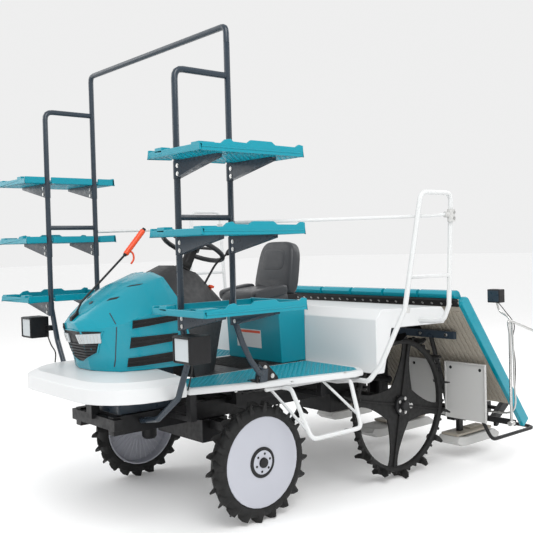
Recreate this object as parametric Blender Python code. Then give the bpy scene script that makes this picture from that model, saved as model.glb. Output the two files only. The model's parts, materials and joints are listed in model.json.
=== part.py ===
"""Riding rice transplanter for six rows, in metres, +Z up.

The machine faces -Y and its left side is +X. Every y below is measured back from the front
axle, and an empty named transplanter carries the whole machine to its place, so that the
origin lies under the middle of its box. Each moving piece has its origin on its joint's axis.
"""

import math

import bmesh
import bpy
from mathutils import Vector

# ---------------------------------------------------------------- driving dimensions
SEAT_GAP = 0.0003  # between pieces that touch
PIN_GAP = 0.0008  # running gap of a pin in its bore
RUN_GAP = 0.006  # between pieces that move past each other

FRONT_END = 0.88  # cowl's nose ahead of the front axle
REAR_END = 2.2825  # guard pipe behind the front axle
WHEELBASE = 1.147

WHEEL_SIDES = 32
FRONT_WHEEL_R = 0.325
FRONT_TYRE_W = 0.093
FRONT_WHEEL_X = 0.6185
FRONT_RIM_R = 0.245
KINGPIN_X = 0.485
KINGPIN_R = 0.048
REAR_WHEEL_R = 0.464
REAR_WHEEL_X = 0.640
REAR_RING_W = 0.060
REAR_RING_R = 0.395
REAR_HUB_R = 0.060
SPOKE_TURN = math.radians(-12)
SPOKE_FOOT = 0.030  # distances from the wheel's middle
SPOKE_NECK = 0.190
SPOKE_FOOT_HALF = 0.090
SPOKE_NECK_HALF = 0.050
SPOKE_TIP_HALF = 0.034

FRAME_X = 0.185  # middle of each frame beam
FRAME_BEAM_W = 0.055
FRAME_TOP = 0.600
FRAME_BEAM_H = 0.100
FRAME_FRONT = -0.655
FRAME_REAR = 1.22

FLOOR_TOP = 0.760
FLOOR_T = 0.014
STEP_T = 0.035
STEP_INNER_X = 0.270
DECK_FRONT = 0.700
DECK_REAR = 1.335
DECK_TOP = 1.100
DECK_X = 0.860
DECK_WALL = 0.012

COWL_X = 0.560
COWL_REAR = -0.410
COWL_BOTTOM = 0.720
COWL_WALL = 0.012

BONNET_WALL = 0.012
BONNET_BOTTOM = 0.842
BONNET_X = 0.310
BONNET_REAR = -0.170
HINGE_DROP = 0.008  # bonnet hinge below the rear of its top
HINGE_PIN_R = 0.006
DASH_GAP = 0.030  # between the tops of bonnet and dash, where the hinge lies

POST_R = 0.016
POST_X = 0.718
POST_FRONT_Y = -0.539
POST_REAR_Y = -0.217
RACK_TOP = 2.618
LADDER_TOP = 2.365
RUNG_Z = 1.631
TRAY_X = (0.700, 1.122)
TRAY_Y = (-0.690, -0.080)
TRAY_Z = {"bottom": 1.172, "middle": 1.537, "top": 1.905}
TRAY_H = 0.045
TRAY_WALL = 0.010
ARM_DROP = 0.085
ARM_TIP = 0.016  # height of an arm at its outer end
ARM_END_X = 1.060
ARM_T = 0.030

RAIL_R = 0.0145
RAIL_X = 1.111
RAIL_TOP = 1.776

TABLE_ROWS = 6
ROW_PITCH = 0.300
TABLE_TOP = (1.430, 1.120)  # y, z of the table's upper edge
TABLE_ANGLE = math.radians(52.6)
TABLE_LENGTH = 0.900
TABLE_T = 0.035
TABLE_FRAME_LENGTH = 1.110
TABLE_FRAME_X = (0.910, 0.945)
TABLE_FRAME_H = 0.075
TABLE_RAIL_R = 0.018
TABLE_STAY_X = 0.5875  # between the mud guards' plates

TOOLBAR_Y = 1.720
TOOLBAR_Z = 0.330
TOOLBAR_SIZE = 0.070
TOOLBAR_X = 0.880
CASE_X = (-0.600, 0.000, 0.600)
CASE_W = 0.060
CASE_H = 0.070
ROTOR_Y = 2.120
ROTOR_Z = 0.300
ROTOR_ARM_X = 0.130
ROTOR_R = 0.135
SHAFT_R = 0.014
FLOAT_BOTTOM = 0.090
FLOAT_H = 0.060
GUARD_R = 0.0125
GUARD_Z = 0.172

LINK_LENGTH = 0.610
LINK_SLOPE = math.radians(-9.6)
LOWER_LINK = (1.050, 0.600)  # y, z of its front pivot
UPPER_LINK = (1.050, 0.760)
LINK_X = 0.110
LINK_R = 0.016
PIN_R = 0.011

MARKER_X = 1.112
MARKER_Y = TOOLBAR_Y - 0.060
MARKER_R = 0.009
MARKER_HUB_R = 0.016

SIDES = (("left", 1), ("right", -1))

COLOURS = {  # name: (colour, roughness, metallic)
    "teal": ((0.0, 0.30, 0.36, 1), 0.35, 0.0),
    "white": ((0.80, 0.80, 0.79, 1), 0.40, 0.0),
    "black": ((0.012, 0.012, 0.014, 1), 0.55, 0.0),
    "charcoal": ((0.045, 0.045, 0.048, 1), 0.60, 0.0),
    "slate": ((0.020, 0.026, 0.032, 1), 0.40, 0.3),
    "grey": ((0.42, 0.41, 0.39, 1), 0.55, 0.0),
    "rubber": ((0.010, 0.010, 0.010, 1), 0.85, 0.0),
    "steel": ((0.55, 0.55, 0.55, 1), 0.35, 0.9),
    "red": ((0.65, 0.06, 0.02, 1), 0.45, 0.0),
}


# ---------------------------------------------------------------- shapes: (points, faces)
def loft(sections, closed=False):
    """Skin over loops of the same number of points, with both ends capped unless closed."""
    count = len(sections[0])
    points = [Vector(p) for section in sections for p in section]
    rings = len(sections)
    faces = []
    for ring in range(rings if closed else rings - 1):
        a, b = ring * count, ((ring + 1) % rings) * count
        for i in range(count):
            j = (i + 1) % count
            faces.append((a + i, a + j, b + j, b + i))
    if not closed:
        faces.append(tuple(range(count))[::-1])
        faces.append(tuple(range((rings - 1) * count, rings * count)))
    return points, faces


def place(axis, along, u, v):
    """A point from its distance along an axis and its two other coordinates in order."""
    return {"x": (along, u, v), "y": (u, along, v), "z": (u, v, along)}[axis]


def prism(axis, lo, hi, outline):
    """An outline pushed along an axis; its columns are the two other coordinates in order."""
    return loft([[place(axis, at, u, v) for u, v in outline] for at in (lo, hi)])


def box(x, y, z):
    """A box from three (low, high) pairs."""
    return prism("z", z[0], z[1], [(x[0], y[0]), (x[1], y[0]), (x[1], y[1]), (x[0], y[1])])


def circle(radius, sides, turn=0.5):
    """Points of a polygon; a turn of 0.5 puts a flat at the bottom."""
    steps = [2 * math.pi * (i + turn) / sides - math.pi / 2 for i in range(sides)]
    return [(radius * math.cos(a), radius * math.sin(a)) for a in steps]


def turned(axis, centre, profile, sides=24):
    """A solid turned round an axis: profile columns are distance along it and radius."""
    u0, v0 = centre
    rings = []
    for along, radius in profile:
        rings.append([place(axis, along, u0 + u, v0 + v) for u, v in circle(radius, sides)])
    return loft(rings)


def ring(axis, centre, profile, sides=24):
    """A ring turned round an axis: profile is a closed outline of (along, radius)."""
    u0, v0 = centre
    loops = []
    for u, v in circle(1.0, sides):
        loops.append([place(axis, along, u0 + r * u, v0 + r * v) for along, r in profile])
    return loft(loops, closed=True)


def rod(start, end, radius, sides=10):
    """A straight round bar."""
    return pipe([start, end], radius, sides)


def pipe(path, radius, sides=8, closed=False):
    """A round bar along a path of points, mitred at each corner."""
    path = [Vector(p) for p in path]
    count = len(path)
    normal = None
    rings = []
    for i, point in enumerate(path):
        before = path[i - 1] if (i or closed) else None
        after = path[(i + 1) % count] if (i < count - 1 or closed) else None
        into = (point - before).normalized() if before else (after - point).normalized()
        out = (after - point).normalized() if after else into
        tangent = (into + out).normalized()
        if normal is None:
            seed = Vector((0, 0, 1)) if abs(into.z) < 0.9 else Vector((0, 1, 0))
            normal = (seed - into * seed.dot(into)).normalized()
        normal = (normal - into * normal.dot(into)).normalized()
        side = into.cross(normal)
        loop = []
        for u, v in circle(radius, sides):
            offset = normal * u + side * v
            offset -= into * (offset.dot(tangent) / into.dot(tangent))
            loop.append(point + offset)
        rings.append(loop)
        normal = (normal - out * normal.dot(out)).normalized()
    return loft(rings, closed)


def bent(points, radius, steps=4):
    """A path whose inner corners are rounded with a bend of this radius."""
    points = [Vector(p) for p in points]
    path = [points[0]]
    for before, corner, after in zip(points, points[1:], points[2:]):
        into, out = (corner - before).normalized(), (after - corner).normalized()
        half = into.angle(out) / 2
        if half < 0.02:
            path.append(corner)
            continue
        reach = min(radius * math.tan(half), 0.45 * (corner - before).length,
                    0.45 * (after - corner).length)
        start, end = corner - into * reach, corner + out * reach
        for k in range(steps + 1):
            t = k / steps
            path.append((1 - t) ** 2 * start + 2 * t * (1 - t) * corner + t * t * end)
    return path + [points[-1]]


def mirrored(shape, s):
    """The shape, or its mirror image across the middle plane when s is -1."""
    points, faces = shape
    return [Vector((s * p[0], p[1], p[2])) for p in points], faces


# ---------------------------------------------------------------- objects
def material(name):
    made = bpy.data.materials.get(name)
    if made:
        return made
    colour, roughness, metallic = COLOURS[name]
    made = bpy.data.materials.new(name)
    made.use_nodes = True
    shader = made.node_tree.nodes["Principled BSDF"]
    shader.inputs["Base Color"].default_value = colour
    shader.inputs["Roughness"].default_value = roughness
    shader.inputs["Metallic"].default_value = metallic
    made.diffuse_color = colour
    return made


def mesh_of(name, shape, pivot):
    """A closed mesh with its faces pointing out, seen from the pivot."""
    points, faces = shape
    work = bmesh.new()
    corners = [work.verts.new(Vector(p) - Vector(pivot)) for p in points]
    for face in faces:
        work.faces.new([corners[i] for i in face])
    bmesh.ops.remove_doubles(work, verts=work.verts, dist=1e-6)
    bmesh.ops.connect_verts_nonplanar(work, angle_limit=math.radians(0.1), faces=work.faces)
    bmesh.ops.recalc_face_normals(work, faces=work.faces)
    mesh = bpy.data.meshes.new(name)
    work.to_mesh(mesh)
    work.free()
    mesh.shade_smooth()
    mesh.set_sharp_from_angle(angle=math.radians(35))
    return mesh


def solid(name, finish, shapes, cuts=(), pivot=(0, 0, 0), fittings=(), bores=()):
    """One named piece: its shapes joined, its cuts taken away, its origin on the pivot.

    Fittings are joined after the cuts, and bores are cut last.
    """
    made = bpy.data.objects.new(name, mesh_of(name, shapes[0], pivot))
    made.data.materials.append(material(finish))
    made.parent = bpy.data.objects["transplanter"]
    made.location = pivot
    bpy.context.scene.collection.objects.link(made)
    work = [("UNION", shape) for shape in shapes[1:]] + [("DIFFERENCE", cut) for cut in cuts]
    work += [("UNION", shape) for shape in fittings] + [("DIFFERENCE", bore) for bore in bores]
    for index, (operation, shape) in enumerate(work):
        helper_name = f"{name}_{operation.lower()}_{index}"
        helper = bpy.data.objects.new(helper_name, mesh_of(helper_name, shape, pivot))
        helper.parent = made
        helper.hide_render = True
        helper.display_type = "WIRE"
        bpy.context.scene.collection.objects.link(helper)
        modifier = made.modifiers.new(helper_name, "BOOLEAN")
        modifier.operation = operation
        modifier.solver = "EXACT"
        modifier.object = helper
    return made


def clear_scene():
    for item in list(bpy.data.objects):
        bpy.data.objects.remove(item, do_unlink=True)
    carrier = bpy.data.objects.new("transplanter", None)
    carrier.location = (0, (FRONT_END - REAR_END) / 2, 0)
    bpy.context.scene.collection.objects.link(carrier)


# ---------------------------------------------------------------- wheels and axles
def axle_height(radius):
    """Height of a wheel's centre when a flat of its outline stands on the ground."""
    return radius * math.cos(math.pi / WHEEL_SIDES)


FRONT_Z = axle_height(FRONT_WHEEL_R)
REAR_Z = axle_height(REAR_WHEEL_R)


def front_wheels():
    half = FRONT_TYRE_W / 2
    for side, s in SIDES:
        x = FRONT_WHEEL_X
        centre = (0, FRONT_Z)
        tread = [(x - half, FRONT_RIM_R), (x - half, FRONT_WHEEL_R - 0.03),
                 (x - half + 0.015, FRONT_WHEEL_R), (x + half - 0.015, FRONT_WHEEL_R),
                 (x + half, FRONT_WHEEL_R - 0.03), (x + half, FRONT_RIM_R)]
        pivot = (s * x, 0, FRONT_Z)
        solid(f"front_tyre_{side}", "rubber", [mirrored(ring("x", centre, tread, WHEEL_SIDES), s)],
              pivot=pivot)
        rim = FRONT_RIM_R - SEAT_GAP
        dish = [(x - 0.030, 0.055), (x + 0.020, 0.070), (x + 0.030, rim - 0.010),
                (x - half + 0.004, rim - 0.008), (x - half + 0.004, rim), (x + half - 0.004, rim),
                (x + half, rim - 0.012), (x + half - 0.012, 0.075), (x + half - 0.002, 0.060),
                (x + half - 0.002, 0.004), (x - 0.030, 0.004)]
        solid(f"front_disc_{side}", "white",
              [mirrored(ring("x", centre, dish, WHEEL_SIDES), s)], pivot=pivot)


def rear_wheels():
    half = REAR_RING_W / 2
    x = REAR_WHEEL_X
    hub_half = 0.035
    for side, s in SIDES:
        centre = (WHEELBASE, REAR_Z)
        band = [(x - half, REAR_RING_R), (x - half, REAR_WHEEL_R - 0.02), (x - half + 0.02, REAR_WHEEL_R),
                (x + half - 0.02, REAR_WHEEL_R), (x + half, REAR_WHEEL_R - 0.02), (x + half, REAR_RING_R)]
        shapes = [ring("x", centre, band, WHEEL_SIDES),
                  turned("x", centre, [(x - hub_half, REAR_HUB_R), (x + hub_half, REAR_HUB_R)], 16)]
        for k in range(4):
            turn = SPOKE_TURN + k * math.pi / 2
            outline = []
            for along, width in ((SPOKE_FOOT, -SPOKE_FOOT_HALF), (SPOKE_NECK, -SPOKE_NECK_HALF),
                                 (REAR_RING_R + 0.012, -SPOKE_TIP_HALF),
                                 (REAR_RING_R + 0.012, SPOKE_TIP_HALF),
                                 (SPOKE_NECK, SPOKE_NECK_HALF), (SPOKE_FOOT, SPOKE_FOOT_HALF)):
                outline.append((WHEELBASE + along * math.cos(turn) - width * math.sin(turn),
                                REAR_Z + along * math.sin(turn) + width * math.cos(turn)))
            shapes.append(prism("x", x - 0.006 + k * 0.0002, x + 0.006 + k * 0.0002, outline))
        solid(f"rear_wheel_{side}", "rubber", [mirrored(shape, s) for shape in shapes],
              pivot=(s * x, WHEELBASE, REAR_Z))


def knuckles():
    inner_face = FRONT_WHEEL_X - 0.030
    for side, s in SIDES:
        low, high = FRONT_Z - 0.060, FRONT_Z + 0.115
        shapes = [
            turned("z", (KINGPIN_X, 0), [(low, KINGPIN_R - 0.012), (low + 0.015, KINGPIN_R),
                                         (high, KINGPIN_R)], 16),
            turned("x", (0, FRONT_Z), [(KINGPIN_X, 0.036), (inner_face - 0.0008, 0.030)], 16),
            prism("z", high - 0.050, high - 0.032,
                  [(KINGPIN_X - 0.02, 0.0), (KINGPIN_X + 0.02, 0.0), (KINGPIN_X - 0.02, 0.115),
                   (KINGPIN_X - 0.05, 0.115)]),
        ]
        solid(f"front_knuckle_{side}", "black", [mirrored(shape, s) for shape in shapes],
              pivot=(s * KINGPIN_X, 0, FRONT_Z))


def front_axle():
    seat = FRONT_Z + 0.115 + PIN_GAP
    top = FRAME_TOP - FRAME_BEAM_H - SEAT_GAP
    shapes = [box((-0.43, 0.43), (-0.035, 0.035), (seat + 0.006, top - 0.004)),
              box((-0.235, 0.235), (-0.090, 0.090), (seat - 0.070, top))]
    for _, s in SIDES:
        shapes.append(turned("z", (s * KINGPIN_X, 0), [(seat, 0.050), (top + 0.02, 0.050),
                                                      (top + 0.04, 0.030)], 16))
        shapes.append(box(sorted((s * 0.40, s * KINGPIN_X)), (-0.040, 0.040), (seat + 0.004, top)))
    solid("front_axle", "black", shapes)


def rear_axle():
    inner = REAR_WHEEL_X - 0.035 - PIN_GAP
    beam_low = FRAME_TOP - FRAME_BEAM_H
    shapes = [box((-0.150, 0.150), (WHEELBASE - 0.130, FRAME_REAR - 0.035), (0.360, beam_low - SEAT_GAP)),
              box((-0.240, 0.240), (WHEELBASE - 0.045, WHEELBASE + 0.040),
                  (REAR_Z - 0.045, beam_low - SEAT_GAP))]
    for _, s in SIDES:
        shapes.append(mirrored(turned("x", (WHEELBASE, REAR_Z),
                                      [(0.23, 0.045), (0.50, 0.045), (0.505, 0.060), (0.555, 0.060),
                                       (0.560, 0.035), (inner, 0.035)], 16), s))
    solid("rear_axle", "black", shapes)


# ---------------------------------------------------------------- chassis
STAYS = ((-0.330, 0.500), (0.120, 0.310), (0.620, 0.500))  # y, half length


def main_frame():
    low = FRAME_TOP - FRAME_BEAM_H
    shapes = [box((-0.24, 0.24), (FRAME_FRONT, FRAME_FRONT + 0.05), (low + 0.03, FRAME_TOP - 0.01))]
    for _, s in SIDES:
        inner, outer = FRAME_X - FRAME_BEAM_W / 2, FRAME_X + FRAME_BEAM_W / 2
        shapes.append(box(sorted((s * inner, s * outer)), (FRAME_FRONT + 0.01, FRAME_REAR), (low, FRAME_TOP)))
    for y in (0.22, 0.62):
        shapes.append(box((-0.19, 0.19), (y - 0.025, y + 0.025), (low + 0.012, FRAME_TOP - 0.012)))
    shapes.append(box((-0.19, 0.19), (FRAME_REAR - 0.025, FRAME_REAR), (low - 0.015, low + 0.015)))
    # Stays carry the floor, and their outer ends carry the steps.
    for y, reach in STAYS:
        shapes.append(box((-reach, reach), (y - 0.020, y + 0.020), (FRAME_TOP - 0.030, FRAME_TOP - 0.002)))
        for _, s in SIDES:
            shapes.append(box(sorted((s * (reach - 0.04), s * reach)), (y - 0.020, y + 0.020),
                              (FRAME_TOP - 0.02, FLOOR_TOP - STEP_T - SEAT_GAP)))
    # The mast behind the seat carries the links.
    mast = LOWER_LINK[0]
    for _, s in SIDES:
        shapes.append(box(sorted((s * 0.040, s * 0.062)), (mast - 0.060, mast + 0.030),
                          (low + 0.005, UPPER_LINK[1] + 0.035)))
    shapes.append(box((-0.062, 0.062), (mast - 0.080, mast - 0.040), (low + 0.005, UPPER_LINK[1] + 0.020)))
    shapes.append(box((-0.19, 0.19), (mast - 0.080, mast - 0.050), (low + 0.002, FRAME_TOP - 0.015)))
    # Brackets under the cowl carry it at its front and sides.
    shapes.append(box((-0.030, 0.030), (FRAME_FRONT - 0.02, FRAME_FRONT + 0.03),
                      (FRAME_TOP - 0.03, cowl_underside(FRAME_FRONT - 0.02) - SEAT_GAP)))
    cuts = []
    for y, z in (LOWER_LINK, UPPER_LINK):
        cuts.append(turned("x", (y, z), [(-0.08, PIN_R + PIN_GAP), (0.08, PIN_R + PIN_GAP)], 12))
    solid("main_frame", "black", shapes, cuts)


def engine():
    """One plain block at the engine's place, on the frame beams."""
    solid("engine", "slate", [box((-0.19, 0.19), (-0.60, -0.245), (FRAME_TOP + SEAT_GAP, 1.03))])


def u_path(half, front, rear, radius, steps=6):
    """A path in plan, from the left rear round the front to the right rear."""
    path = [(half, rear), (half, rear - 0.5 * (rear - front - radius))]
    for k in range(steps + 1):
        a = math.pi / 2 * k / steps
        path.append((half - radius * (1 - math.cos(a)), front + radius * (1 - math.sin(a))))
    return path + [(-x, y) for x, y in reversed(path)]


COWL_BROW = (0.050, 0.822)  # set back from the outer wall, and height
COWL_THROAT = (-0.660, BONNET_BOTTOM - SEAT_GAP)  # y and height of its edge at the bonnet


def cowl_underside(y):
    """Height of the cowl's underside on the middle plane."""
    brow_y = -FRONT_END + COWL_BROW[0]
    rise = (COWL_THROAT[1] - COWL_BROW[1]) / (COWL_THROAT[0] - brow_y)
    return COWL_BROW[1] + rise * (y - brow_y) - COWL_WALL


def front_cowl():
    """White shell round the bonnet's foot: an outer wall and a top that rises inwards."""
    t = COWL_WALL
    outer = u_path(COWL_X, -FRONT_END, COWL_REAR, 0.30)
    brow = u_path(COWL_X - COWL_BROW[0], -FRONT_END + COWL_BROW[0], COWL_REAR, 0.28)
    throat = u_path(0.255, COWL_THROAT[0], COWL_REAR, 0.14)
    lining = u_path(COWL_X - t, -FRONT_END + t, COWL_REAR, 0.29)
    rows = [outer, outer, brow, throat, throat, brow, lining, lining]
    wall_top = COWL_BROW[1] - 0.027
    heights = [COWL_BOTTOM, wall_top, COWL_BROW[1], COWL_THROAT[1], COWL_THROAT[1] - t, COWL_BROW[1] - t,
               wall_top - t / 2, COWL_BOTTOM]
    sections = [[(p[0], p[1], z) for p, z in zip(station, heights)] for station in zip(*rows)]
    solid("front_cowl", "white", [loft(sections)])


def step_outline(s):
    """Plan of one step: its inner edge follows the floor, its outer edge widens to the rear."""
    points = [(STEP_INNER_X, -0.395), (0.560, -0.395), (0.680, -0.040), (0.700, 0.050), (0.820, 0.560),
              (0.810, 0.640), (0.730, DECK_FRONT - SEAT_GAP), (STEP_INNER_X, DECK_FRONT - SEAT_GAP)]
    return [(s * x, y) for x, y in points]


def floor_and_steps():
    solid("floor", "charcoal",
          [box((-STEP_INNER_X + SEAT_GAP, STEP_INNER_X - SEAT_GAP), (-0.130, DECK_FRONT - SEAT_GAP),
               (FLOOR_TOP - FLOOR_T, FLOOR_TOP)),
           box((-0.20, 0.20), (0.20, 0.24), (FRAME_TOP + SEAT_GAP, FLOOR_TOP - 0.005))])
    for side, s in SIDES:
        solid(f"step_{side}", "teal", [prism("z", FLOOR_TOP - STEP_T, FLOOR_TOP, step_outline(s))])


def foot_steps():
    """Tube ladders that hang outboard of the steps."""
    top = FLOOR_TOP - STEP_T - SEAT_GAP - 0.0125 * math.cos(math.pi / 8)
    for side, s in SIDES:
        path = [(0.66, 0.130, top), (0.755, 0.130, top), (0.910, 0.130, 0.465), (0.910, 0.505, 0.465),
                (0.800, 0.540, top), (0.70, 0.540, top)]
        shapes = [mirrored(pipe(bent(path, 0.04), 0.0125), s),
                  mirrored(rod((0.66, 0.060, top), (0.885, 0.130, 0.50), 0.008), s),
                  mirrored(rod((0.70, 0.420, top), (0.880, 0.515, 0.53), 0.008), s),
                  mirrored(pipe([(0.675, 0.02, top), (0.675, 0.60, top)], 0.0123), s)]
        solid(f"foot_step_{side}", "white", shapes)


# ---------------------------------------------------------------- bonnet, dash and steering
# Bonnet sections from nose to rear: y at the bottom and at the top, half widths at the
# bottom, shoulder and crown edge, then the heights of shoulder, crown edge and crown.
BONNET_SECTIONS = (
    (-0.690, -0.775, 0.070, 0.090, 0.060, 1.060, 1.095, 1.100),
    (-0.660, -0.715, 0.170, 0.190, 0.110, 1.075, 1.135, 1.145),
    (-0.610, -0.630, 0.250, 0.270, 0.150, 1.090, 1.190, 1.205),
    (-0.490, -0.490, 0.290, 0.300, 0.175, 1.130, 1.265, 1.287),
    (-0.300, -0.330, 0.308, 0.308, 0.185, 1.175, 1.320, 1.345),
    (BONNET_REAR, -0.300, BONNET_X, BONNET_X, 0.188, 1.182, 1.325, 1.350),
)


def bonnet_loop(row, inset):
    """One arched section of the bonnet, drawn in by the inset."""
    foot_y, top_y, foot, shoulder, crown, shoulder_z, crown_z, top_z = row
    low = BONNET_BOTTOM - (0.02 if inset else 0)
    half = [(foot - inset, low), (shoulder - inset, shoulder_z - inset / 2),
            (crown - inset / 2, crown_z - inset), (0.5 * crown, top_z - inset)]
    profile = half + [(-x, z) for x, z in reversed(half)]
    rise = top_z - BONNET_BOTTOM
    return [(x, foot_y + (top_y - foot_y) * (z - BONNET_BOTTOM) / rise, z) for x, z in profile]


def crown_height(y):
    """Height of the bonnet's crown at a place along it."""
    for row, after in zip(BONNET_SECTIONS, BONNET_SECTIONS[1:]):
        if row[1] <= y <= after[1]:
            return row[7] + (after[7] - row[7]) * (y - row[1]) / (after[1] - row[1])
    return BONNET_SECTIONS[-1][7]


def bonnet_hinge():
    rear = BONNET_SECTIONS[-1]
    return rear[1] + 0.010, rear[7] - HINGE_DROP


def bonnet():
    """Hollow bonnet, open below and at the rear."""
    hinge_y, hinge_z = bonnet_hinge()
    outer = [bonnet_loop(row, 0) for row in BONNET_SECTIONS]
    inner = [bonnet_loop(row, BONNET_WALL) for row in BONNET_SECTIONS]
    inner[0] = [(x, y + BONNET_WALL, z) for x, y, z in inner[0]]
    inner.append([(x, y + 0.05, z) for x, y, z in inner[-1]])
    ears = []
    hook = [(-0.035, -0.008), (0.004, -0.011), (0.011, -0.004), (0.011, 0.004), (0.004, 0.011),
            (-0.035, 0.005)]
    for _, s in SIDES:
        ears.append(prism("x", *sorted((s * 0.036, s * 0.056)),
                          [(hinge_y + y, hinge_z + z) for y, z in hook]))
    bore = HINGE_PIN_R + PIN_GAP
    solid("bonnet", "teal", [loft(outer)], [loft(inner)], (0, hinge_y, hinge_z), ears,
          [turned("x", (hinge_y, hinge_z), [(-0.07, bore), (0.07, bore)], 12)])


def centre_marker():
    """Folding sighting pole that stands on the bonnet's nose, with a red grip on its tip."""
    hinge_y, hinge_z = bonnet_hinge()
    path = [(0, -0.738, 1.135), (0, -0.700, 1.205), (0, -0.410, 1.465)]
    foot = [(y, crown_height(y) + lift) for y, lift in ((-0.765, SEAT_GAP), (-0.722, SEAT_GAP),
                                                        (-0.722, 0.020), (-0.765, 0.020))]
    base = prism("x", -0.012, 0.012, foot)
    grip = pipe([(0, -0.425, 1.451), (0, -0.290, 1.600)], 0.011, 8)
    solid("centre_marker", "red", [pipe(bent(path, 0.05), 0.006, 8), base, grip],
          pivot=(0, hinge_y, hinge_z))


def dash_shape(lift):
    """The console's solid, raised by the lift."""
    # y at foot and top, half width at foot and top, height of the edge and of the middle
    rows = ((BONNET_REAR + RUN_GAP, BONNET_SECTIONS[-1][1] + DASH_GAP, 0.285, 0.170, 1.300, 1.335),
            (-0.100, -0.150, 0.260, 0.160, 1.320, 1.385),
            (0.000, 0.020, 0.200, 0.140, 1.270, 1.330),
            (0.090, 0.190, 0.120, 0.100, 1.150, 1.180))
    sections = []
    for foot_y, top_y, foot, top, edge_z, top_z in rows:
        low = FLOOR_TOP + SEAT_GAP
        half = [(foot, low), (foot, 1.12), (top, edge_z), (0.5 * top, top_z)]
        profile = half + [(-x, z) for x, z in reversed(half)]
        sections.append([(x, foot_y + (top_y - foot_y) * (z - low) / (top_z - low), z + lift)
                         for x, z in profile])
    return loft(sections)


def dash_cover():
    """Charcoal console behind the bonnet, which also holds the bonnet's hinge pin."""
    hinge_y, hinge_z = bonnet_hinge()
    pin = turned("x", (hinge_y, hinge_z), [(-0.060, HINGE_PIN_R), (0.060, HINGE_PIN_R)], 12)
    lug = box((-0.030, 0.030), (hinge_y - 0.001, hinge_y + 0.040), (hinge_z - 0.030, hinge_z + 0.002))
    solid("dash_cover", "charcoal", [dash_shape(0), pin, lug])


WHEEL_TILT = math.radians(27)
STEERING_HUB = (0.044, 1.488)  # y, z of the steering wheel's middle
STEERING_R = 0.190


def steering():
    """Column out of the dash, and the wheel on it."""
    y, z = STEERING_HUB
    lean = Vector((0, math.sin(WHEEL_TILT), math.cos(WHEEL_TILT)))
    hub = Vector((0, y, z))
    foot = hub - lean * 0.170
    top = hub - lean * (0.020 + PIN_GAP)
    solid("steering_column", "charcoal", [rod(foot, top, 0.034, 12)],
          [dash_shape(SEAT_GAP)])
    across = Vector((1, 0, 0))
    up = lean.cross(across)
    rim = []
    for k in range(24):
        a = 2 * math.pi * k / 24
        rim.append(hub + (across * math.cos(a) + up * math.sin(a)) * STEERING_R)
    shapes = [pipe(rim, 0.0145, 8, closed=True), rod(hub - lean * 0.020, hub + lean * 0.012, 0.045, 12)]
    for a in (math.radians(10), math.radians(170), math.radians(270)):
        end = hub + (across * math.cos(a) + up * math.sin(a)) * STEERING_R
        shapes.append(rod(hub - lean * 0.002, end, 0.009, 8))
    solid("steering_wheel", "black", shapes, pivot=hub)


# ---------------------------------------------------------------- seat and rear deck
SEAT_X = 0.205
SEAT_BASE_X = 0.265
SEAT_BASE_FRONT = 0.500
SEAT_BASE_TOP = 1.085


def seat_and_base():
    solid("seat_base", "teal",
          [prism("x", -SEAT_BASE_X, SEAT_BASE_X,
                 [(SEAT_BASE_FRONT, FLOOR_TOP + SEAT_GAP), (DECK_FRONT - SEAT_GAP, FLOOR_TOP + SEAT_GAP),
                  (DECK_FRONT - SEAT_GAP, SEAT_BASE_TOP), (SEAT_BASE_FRONT - 0.02, SEAT_BASE_TOP)])])
    low = SEAT_BASE_TOP + SEAT_GAP
    outline = [(0.500, low), (0.640, low), (0.680, DECK_TOP + 0.010), (0.730, DECK_TOP + 0.060),
               (0.800, 1.480), (0.780, 1.512), (0.740, 1.508), (0.650, 1.215), (0.540, 1.195),
               (0.400, 1.212), (0.355, 1.190), (0.365, 1.140)]
    solid("seat", "charcoal", [prism("x", -SEAT_X, SEAT_X, outline)])


def rear_deck():
    """White shell over the rear wheels: a front wall, a top and shallow skirts."""
    t = DECK_WALL
    low = FLOOR_TOP + SEAT_GAP
    outer = [(DECK_FRONT, FLOOR_TOP - 0.030), (DECK_FRONT, 1.045), (0.755, DECK_TOP),
             (DECK_REAR - 0.025, DECK_TOP - 0.020),
             (DECK_REAR, DECK_TOP - 0.045), (DECK_REAR, 0.975), (0.835, 0.985), (0.765, FLOOR_TOP - 0.030)]
    inner = [(DECK_FRONT + t, low - 0.10), (DECK_FRONT + t, 1.040), (0.760, DECK_TOP - t),
             (DECK_REAR - 0.030, DECK_TOP - 0.020 - t), (DECK_REAR - t, DECK_TOP - 0.050),
             (DECK_REAR - t, low - 0.10)]
    shapes = [prism("x", -DECK_X, DECK_X, outer)]
    cuts = [prism("x", -DECK_X + t, DECK_X - t, inner)]
    solid("rear_deck", "white", shapes, cuts)


def deck_stays():
    """Black stays that rise from the frame to the rear deck."""
    low = FRAME_TOP + SEAT_GAP
    high = DECK_TOP - 0.020 - DECK_WALL - 0.012
    shapes = [box((-0.42, 0.42), (1.06, 1.10), (high - 0.03, high)),]
    for _, s in SIDES:
        shapes.append(box(sorted((s * 0.165, s * 0.205)), (1.06, 1.10), (low, high - 0.01)))
    solid("deck_stay", "black", shapes)


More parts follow.
